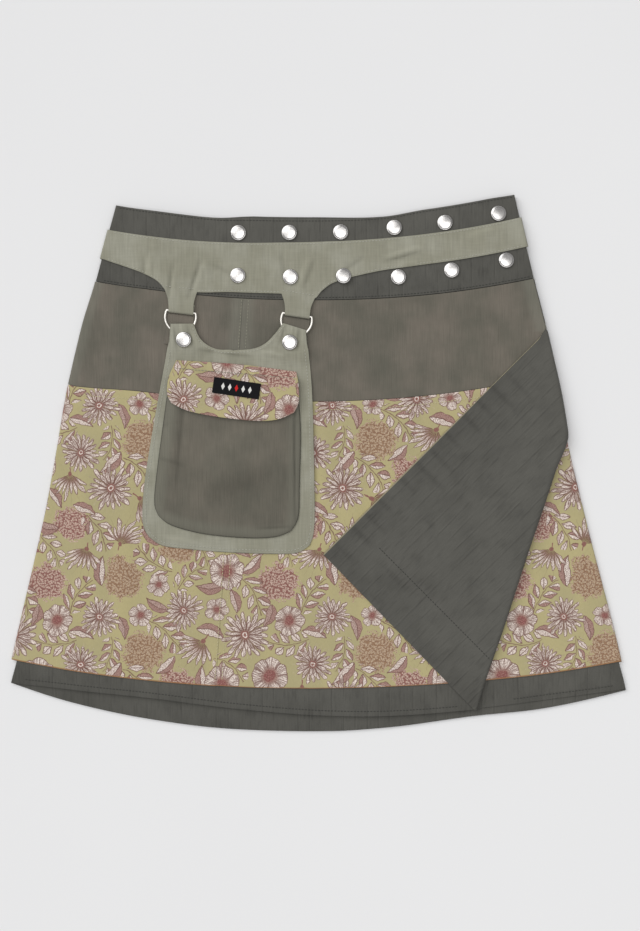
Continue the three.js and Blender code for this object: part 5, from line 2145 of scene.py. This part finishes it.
    def pouch_loft(self, u: Array, v: Array) -> Array:
        """How far the pouch stands off its board, from shares across and up.

        It rises steeply from its edges, as 1 less the tenth power of the distance from the
        middle across and the eighth power up, and a low dome is added to that.
        """
        x, y = 2 * u - 1, 2 * v - 1
        wall = (1 - x**10) * (1 - np.minimum(y, 0.0) ** 8)
        return self.loft * wall * (0.72 + 0.28 * (1 - x * x) * (1 - y * y))

    def flap_height(self, plane: Array, *_: Array) -> Array:
        """The flap's mid-surface: on the board at its seam, then up over the pouch."""
        climb = smoothstep(-plane[..., 1], -self.flap_from, -self.flap_to)
        over = self.loft + STACK.pitch
        crease = self.flap_creases.at(plane) + self.flap_lift.at(plane)
        return self.board_height(plane) + STACK.wall + STACK.loose + over * climb + crease * climb

    def build_board(self) -> None:
        """The board and its two ears, joined along the top of the board."""
        width, length = self.board_size
        half = round(width / 2 / self.spacing)
        u, v = np.linspace(0, 1, 2 * half + 1)[None], steps(length, self.spacing)[::-1, None]
        body = self.board.plane(u, v)
        ears = []
        for (left, right), foot in (
            (self.left_ear, body[0, : half + 1]),
            (self.right_ear, body[0, half:]),
        ):
            top = (left[-1], right[-1])
            patch = Outline((left[0], right[0]), top, left, right)
            rise = steps(self.ear_length, self.spacing)[::-1, None]
            net = patch.plane(np.linspace(0, 1, half + 1)[None], rise)
            net[-1] = foot
            ears.append(net)
        grids = []
        for plane in (body, *ears):
            relief = self.board_creases.at(plane)
            points = waved(raised(plane, self.board_height(plane) + relief))
            to_side = to_rim(plane) if plane is body else FAR
            grids.append(Grid(points, plane, to_side=to_side, relief=relief))
        under = "front_left_print_cloth", "front_right_print_cloth"
        self.skirt.add("pocket_board", grids, Slot.SAGE, (0.163, 0.219), *under)

    def patch(self, outline: Outline, size: tuple[float, float], creases: Relief,
              height: Callable[[Array, Array, Array], Array]) -> Grid:
        """A net over an outline, with heights from the points and their shares."""
        u, v = steps(size[0], self.spacing)[None], steps(size[1], self.spacing)[::-1, None]
        plane = outline.plane(u, v)
        u, v = np.broadcast_arrays(u, v)
        points = waved(raised(plane, height(plane, u, v)))
        return Grid(points, plane, to_side=to_rim(plane), relief=creases.at(plane))

    def pouch_top(self, plane: Array, u: Array, v: Array) -> Array:
        """The pouch's mid-surface, with its pleat and soft hollows."""
        loft = self.pouch_loft(u, v)
        crease = self.pouch_creases.at(plane)
        return self.board_height(plane) + STACK.pitch + loft + crease * loft / self.loft

    def build(self) -> None:
        """The board, the pouch, the flap and the label, from below."""
        self.build_board()
        pouch = self.patch(self.pouch, self.pouch_size, self.pouch_creases, self.pouch_top)
        self.skirt.add("pouch", [pouch], Slot.POUCH, (0.138, 0.148), "pocket_board_cloth")
        flap = self.patch(self.flap, self.flap_size, self.flap_creases, self.flap_height)
        under = "pouch_cloth", "pocket_board_cloth"
        self.skirt.add("pocket_flap", [flap], Slot.PRINT, (0.125, 0.058), *under)
        width, length = self.label_size
        across = lerp(-width / 2, width / 2, steps(width, self.spacing))[None]
        up = lerp(length / 2, -length / 2, steps(length, self.spacing))[:, None]
        plane = self.label.place(across, up)
        points = waved(raised(plane, self.flap_height(plane) + STACK.pitch))
        cloth = np.stack(np.broadcast_arrays(across, up), axis=-1)
        flat = width * MM, length * MM
        self.skirt.add("label", [Grid(points, cloth)], Slot.LABEL, flat, "pocket_flap_cloth")


# ---- Snaps ----


@dataclass
class Snaps:
    """Nickel snap caps: low domes in a rolled rim, each sitting a little askew."""

    skirt: Skirt
    radius: float = 7.4
    height: float = 2.6
    sides: int = 48
    top_row: Table = Table(
        "angle radius tilt towards",
        (-4.62, 875.6, 3.8, 0.0),
        (-1.47, 872.8, 6.0, 0.0),
        (1.72, 872.4, 0.5, 135.0),
        (5.06, 871.2, 8.0, 315.0),
        (8.23, 872.0, 4.6, 315.0),
        (11.6, 872.2, 7.2, 215.0),
    )
    low_row: Table = Table(
        "angle radius tilt towards",
        (-4.44, 915.9, 5.6, 320.0),
        (-1.33, 914.8, 2.8, 340.0),
        (1.81, 914.0, 5.8, 225.0),
        (5.05, 918.0, 3.0, 0.0),
        (8.22, 917.4, 4.2, 315.0),
        (11.5, 917.0, 5.8, 225.0),
    )
    ears: tuple[tuple[str, float, float, float, float], ...] = (
        ("left", -127.3, 116.9, 5.6, 0.0),
        ("right", -27.2, 114.3, 0.5, 135.0),
    )
    on_belt: int = 3

    def profile(self) -> Array:
        """Radius and height round the cap: flat foot, rolled rim and nearly flat face.

        The rim is an arc, and the face falls from its top by the square of the distance.
        """
        rim, face = self.radius - 1.0, self.radius - 1.4
        arc = np.radians(np.linspace(-80, 100, 10))
        roll = np.stack([rim + np.cos(arc), 0.9 + 0.9 * np.sin(arc)], axis=-1)
        share = np.linspace(1.0, 0.0, 9)
        top = np.stack([face * share, self.height - (self.height - 2.05) * share**2], axis=-1)
        return np.concatenate([[[0.0, 0.0]], roll, top])

    def add(self, node: str, x: float, y: float, base: float, tilt: float,
            towards: float) -> None:
        """One cap, leaned by a tilt towards a direction, with its foot on what it sits on."""
        points, faces = lathe(self.profile(), self.sides)
        lean, way = math.radians(tilt), math.radians(towards)
        slope = math.tan(lean) * (points[:, 0] * math.cos(way) + points[:, 1] * math.sin(way))
        points[:, 2] += slope * np.clip(points[:, 2] / self.height, 0.0, 1.0)
        lift = float(WAVES.at(np.array([x, y])))
        points += np.array([x, y, base + lift])
        piece = make_object(f"{node}_cap", points, faces)
        self.skirt.wardrobe.dress(piece, Slot.NICKEL)
        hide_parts(node)
        LOG.info("%s: cap", piece.name)

    def build(self) -> None:
        """The two rows down the front, and one cap on each of the board's ears."""
        on_band = STACK.band_front + 2 * STACK.pitch + STACK.band_wall / 2 + STACK.gap
        for row, table in (("top", self.top_row), ("low", self.low_row)):
            rows = zip(*table.columns.values())
            for number, (angle, radius, tilt, towards) in enumerate(rows, 1):
                x, y = polar(angle, radius)
                belted = row == "low" and number <= self.on_belt
                base = on_band + (STACK.wall + STACK.loose if belted else 0.0)
                self.add(f"snap_{row}_{number}", x, y, base, tilt, towards)
        ear_base = STACK.over_ring + STACK.wall / 2 + STACK.gap
        for ear, x, y, tilt, towards in self.ears:
            self.add(f"snap_ear_{ear}", x, y, ear_base, tilt, towards)


# ---- Seams ----


@dataclass
class Seams:
    """The rows of stitches that show."""

    skirt: Skirt
    front: TurnedFront
    pocket: Pocket
    sit: float = 0.12
    beside_seam: tuple[float, ...] = (-1.2, 5.4)
    corner_hem: float = 45.0
    corner_stop: float = 2.82

    def line(self, start: float, stop: float, radius: AlongAngle, height: AlongAngle) -> Array:
        """A stitched line across the skirt, from angle to angle, on a surface of that height."""
        angle = np.linspace(start, stop, 240)
        return waved(raised(polar(angle, radius(angle)), height(angle) + self.sit))

    def upright(self, offset: float, top: AlongAngle, foot: AlongAngle, height: float) -> Array:
        """A stitched line down the skirt, beside the front seam by an offset."""
        share = np.linspace(0.0, 1.0, 120)
        centre = np.array(FRONT_SEAM)
        radius = lerp(float(top(centre)), float(foot(centre)), share)
        angle = FRONT_SEAM + np.degrees(offset / radius)
        return waved(raised(polar(angle, radius), height + self.sit))

    def add(self, name: str, slot: Slot, *paths: Array) -> None:
        """One piece with all the stitches of some lines."""
        piece = Stitches().row(name, paths)
        self.skirt.wardrobe.dress(piece, slot, thread=True)
        LOG.info("%s: %d faces", name, len(piece.data.polygons))

    def build(self) -> None:
        """Every row, named for the piece that it is sewn on."""
        face = STACK.wall / 2
        start, stop = LEFT_SIDE + 0.2, RIGHT_SIDE - 0.2
        yoke_top, yoke_foot = edge("band_foot", 1.0), edge("yoke_foot", -1.0)
        for name, slot, top, foot in (
            ("front_seam_stitches", Slot.TAUPE, yoke_top, yoke_foot),
            ("front_seam_print_stitches", Slot.PRINT, yoke_foot, hem("print", -6)),
        ):
            rows = (self.upright(off, top, foot, STACK.front_top) for off in self.beside_seam)
            self.add(name, slot, *rows)
        front_face = lifted(STACK.ply(3) + face)
        yoke_row = self.line(start, 9.0, edge("yoke_foot", 8.0), front_face)
        self.add("yoke_seam_stitches", Slot.PRINT, yoke_row)
        belt_rows = (
            (start, stop, belt_edge("top", 1.7)),
            (start, -8.65, belt_edge("foot", -1.7)),
            (-6.7, -1.85, belt_edge("foot", -1.7)),
            (0.3, stop, belt_edge("foot", -1.7)),
            (-8.6, -6.75, belt_edge("foot", -3.2)),
            (-1.8, 0.1, belt_edge("foot", -3.2)),
        )
        belt_face = lambda angle: STACK.belt(angle) + face
        on_belt = (self.line(*row, belt_face) for row in belt_rows)
        self.add("belt_edge_stitches", Slot.SAGE, *on_belt)
        band_face = lifted(STACK.band_front + STACK.band_wall / 2)
        band_rows = (edge("band_top", 2.0), edge("band_foot", -2.2))
        on_band = (self.line(start, stop, row, band_face) for row in band_rows)
        self.add("waistband_edge_stitches", Slot.DARK, *on_band)
        lower_face = lifted(STACK.ply(2) + face)
        self.add(
            "hem_stitches",
            Slot.DARK,
            self.line(LEFT_SIDE + 0.5, 5.9, hem("front", -5.0), lower_face),
            self.line(8.2, RIGHT_SIDE - 0.5, hem("front", -6.0), lower_face),
        )
        self.build_pocket_rows(face)
        self.build_corner_rows(face)

    def build_pocket_rows(self, face: float) -> None:
        """The rows round the board, along the flap's seam and round the pouch's edge."""
        pocket = self.pocket

        def on_board(plane: Array) -> Array:
            """Plane points put on the board's upper face."""
            height = pocket.board_height(plane) + pocket.board_creases.at(plane)
            return waved(raised(plane, height + face + self.sit))

        rim = pocket.board.rim(3.4, 0.0, 1.0, "-left foot right")
        arch = np.concatenate([spline(pocket.left_ear[1], np.linspace(1, 0, 60)),
                               spline(pocket.right_ear[0], np.linspace(0, 1, 60))[1:]])
        along = unit(np.gradient(arch, axis=0))
        arch = arch + 2.2 * np.stack([along[:, 1], -along[:, 0]], axis=-1)
        self.add("board_edge_stitches", Slot.SAGE, on_board(rim), on_board(arch))
        seam = pocket.flap.plane(np.linspace(0.03, 0.97, 80), np.full(80, 0.82))
        height = pocket.flap_height(seam) + face + self.sit
        self.add("flap_seam_stitches", Slot.TAUPE, waved(raised(seam, height)))

    def build_corner_rows(self, face: float) -> None:
        """The hem's row on the turned-back corner."""
        way = np.linspace(2.0, self.corner_stop, 160)
        radius = np.full_like(way, FOLD_END - self.corner_hem)
        points, *_ = self.front.surface(radius, way, YOKE_TOP, hem("front"), 4, None)
        points[:, 2] += face + self.sit
        self.add("corner_hem_stitches", Slot.DARK, waved(points))


# ---- Studio ----


@dataclass(frozen=True)
class Studio:
    """A pale table, soft light from the upper left and a camera straight above."""

    centre: PlanePoint = (1.4, -1.9)
    height: float = 2.0
    long_side: float = 0.884
    floor_colour: Colour = (0.80, 0.80, 0.805)
    floor_size: float = 60000.0
    sun_power: float = 1.45
    softbox_power: float = 99.5
    softbox_size: float = 3.9
    sky_power: float = 0.33

    def build(self) -> None:
        """The table, the lights, the world and the camera."""
        self.add_floor()
        self.add_lights()
        self.add_camera()

    def add_floor(self) -> None:
        """A plain pale table top under the skirt."""
        corners = np.array([[-1, -1, 0], [1, -1, 0], [1, 1, 0], [-1, 1, 0]]) * self.floor_size / 2
        floor = make_object("floor", corners - [0, 0, 0.3], np.array([[0, 1, 2, 3]]))
        r = Recipe("table_paper")
        grain = r.noise(r.place(), 3.0, 2.0)
        colour = r.shaded(self.floor_colour, 0.985 + grain * 0.03)
        floor.data.materials.append(r.finish(base_color=colour, roughness=0.9))

    def add_lights(self) -> None:
        """A broad sun from the upper left, a round softbox overhead and an even pale sky."""
        sun = bpy.data.lights.new("window_light", "SUN")
        sun.energy = self.sun_power
        sun.angle = math.radians(50)
        lamp = bpy.data.objects.new("window_light", sun)
        lamp.rotation_euler = (math.radians(-28), math.radians(-36), 0.0)
        bpy.context.scene.collection.objects.link(lamp)
        box = bpy.data.lights.new("softbox", "AREA")
        box.shape = "DISK"
        box.size = self.softbox_size
        box.energy = self.softbox_power
        overhead = bpy.data.objects.new("softbox", box)
        overhead.location = (0.35, -0.35, 5.0)
        bpy.context.scene.collection.objects.link(overhead)
        world = bpy.data.worlds.new("studio")
        world.use_nodes = True
        sky = world.node_tree.nodes["Background"].inputs
        sky["Color"].default_value = (1.0, 1.0, 1.0, 1.0)
        sky["Strength"].default_value = self.sky_power
        bpy.context.scene.world = world

    def add_camera(self) -> None:
        """A long lens straight above, whose long side covers the given length of table."""
        data = bpy.data.cameras.new("camera")
        data.sensor_width = 36.0
        data.lens = data.sensor_width * self.height / self.long_side
        data.clip_end = 20.0
        camera = bpy.data.objects.new("camera", data)
        camera.location = (self.centre[0] * MM, self.centre[1] * MM, self.height)
        bpy.context.scene.collection.objects.link(camera)
        bpy.context.scene.camera = camera
        bpy.context.scene.view_settings.view_transform = "Standard"


def main() -> None:
    """Builds the skirt in its frame, piece by piece, and notes its sizes."""
    logging.basicConfig(level=logging.INFO, format="%(name)s: %(message)s")
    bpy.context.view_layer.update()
    Studio().build()
    skirt = Skirt(Wardrobe())
    skirt.build_back()
    skirt.build_underlap()
    front = TurnedFront(skirt)
    front.build()
    skirt.build_front_left()
    skirt.build_waistband()
    Belt(skirt).build()
    pocket = Pocket(skirt)
    pocket.build()
    Snaps(skirt).build()
    Seams(skirt, front, pocket).build()


if __name__ == "__main__":
    main()
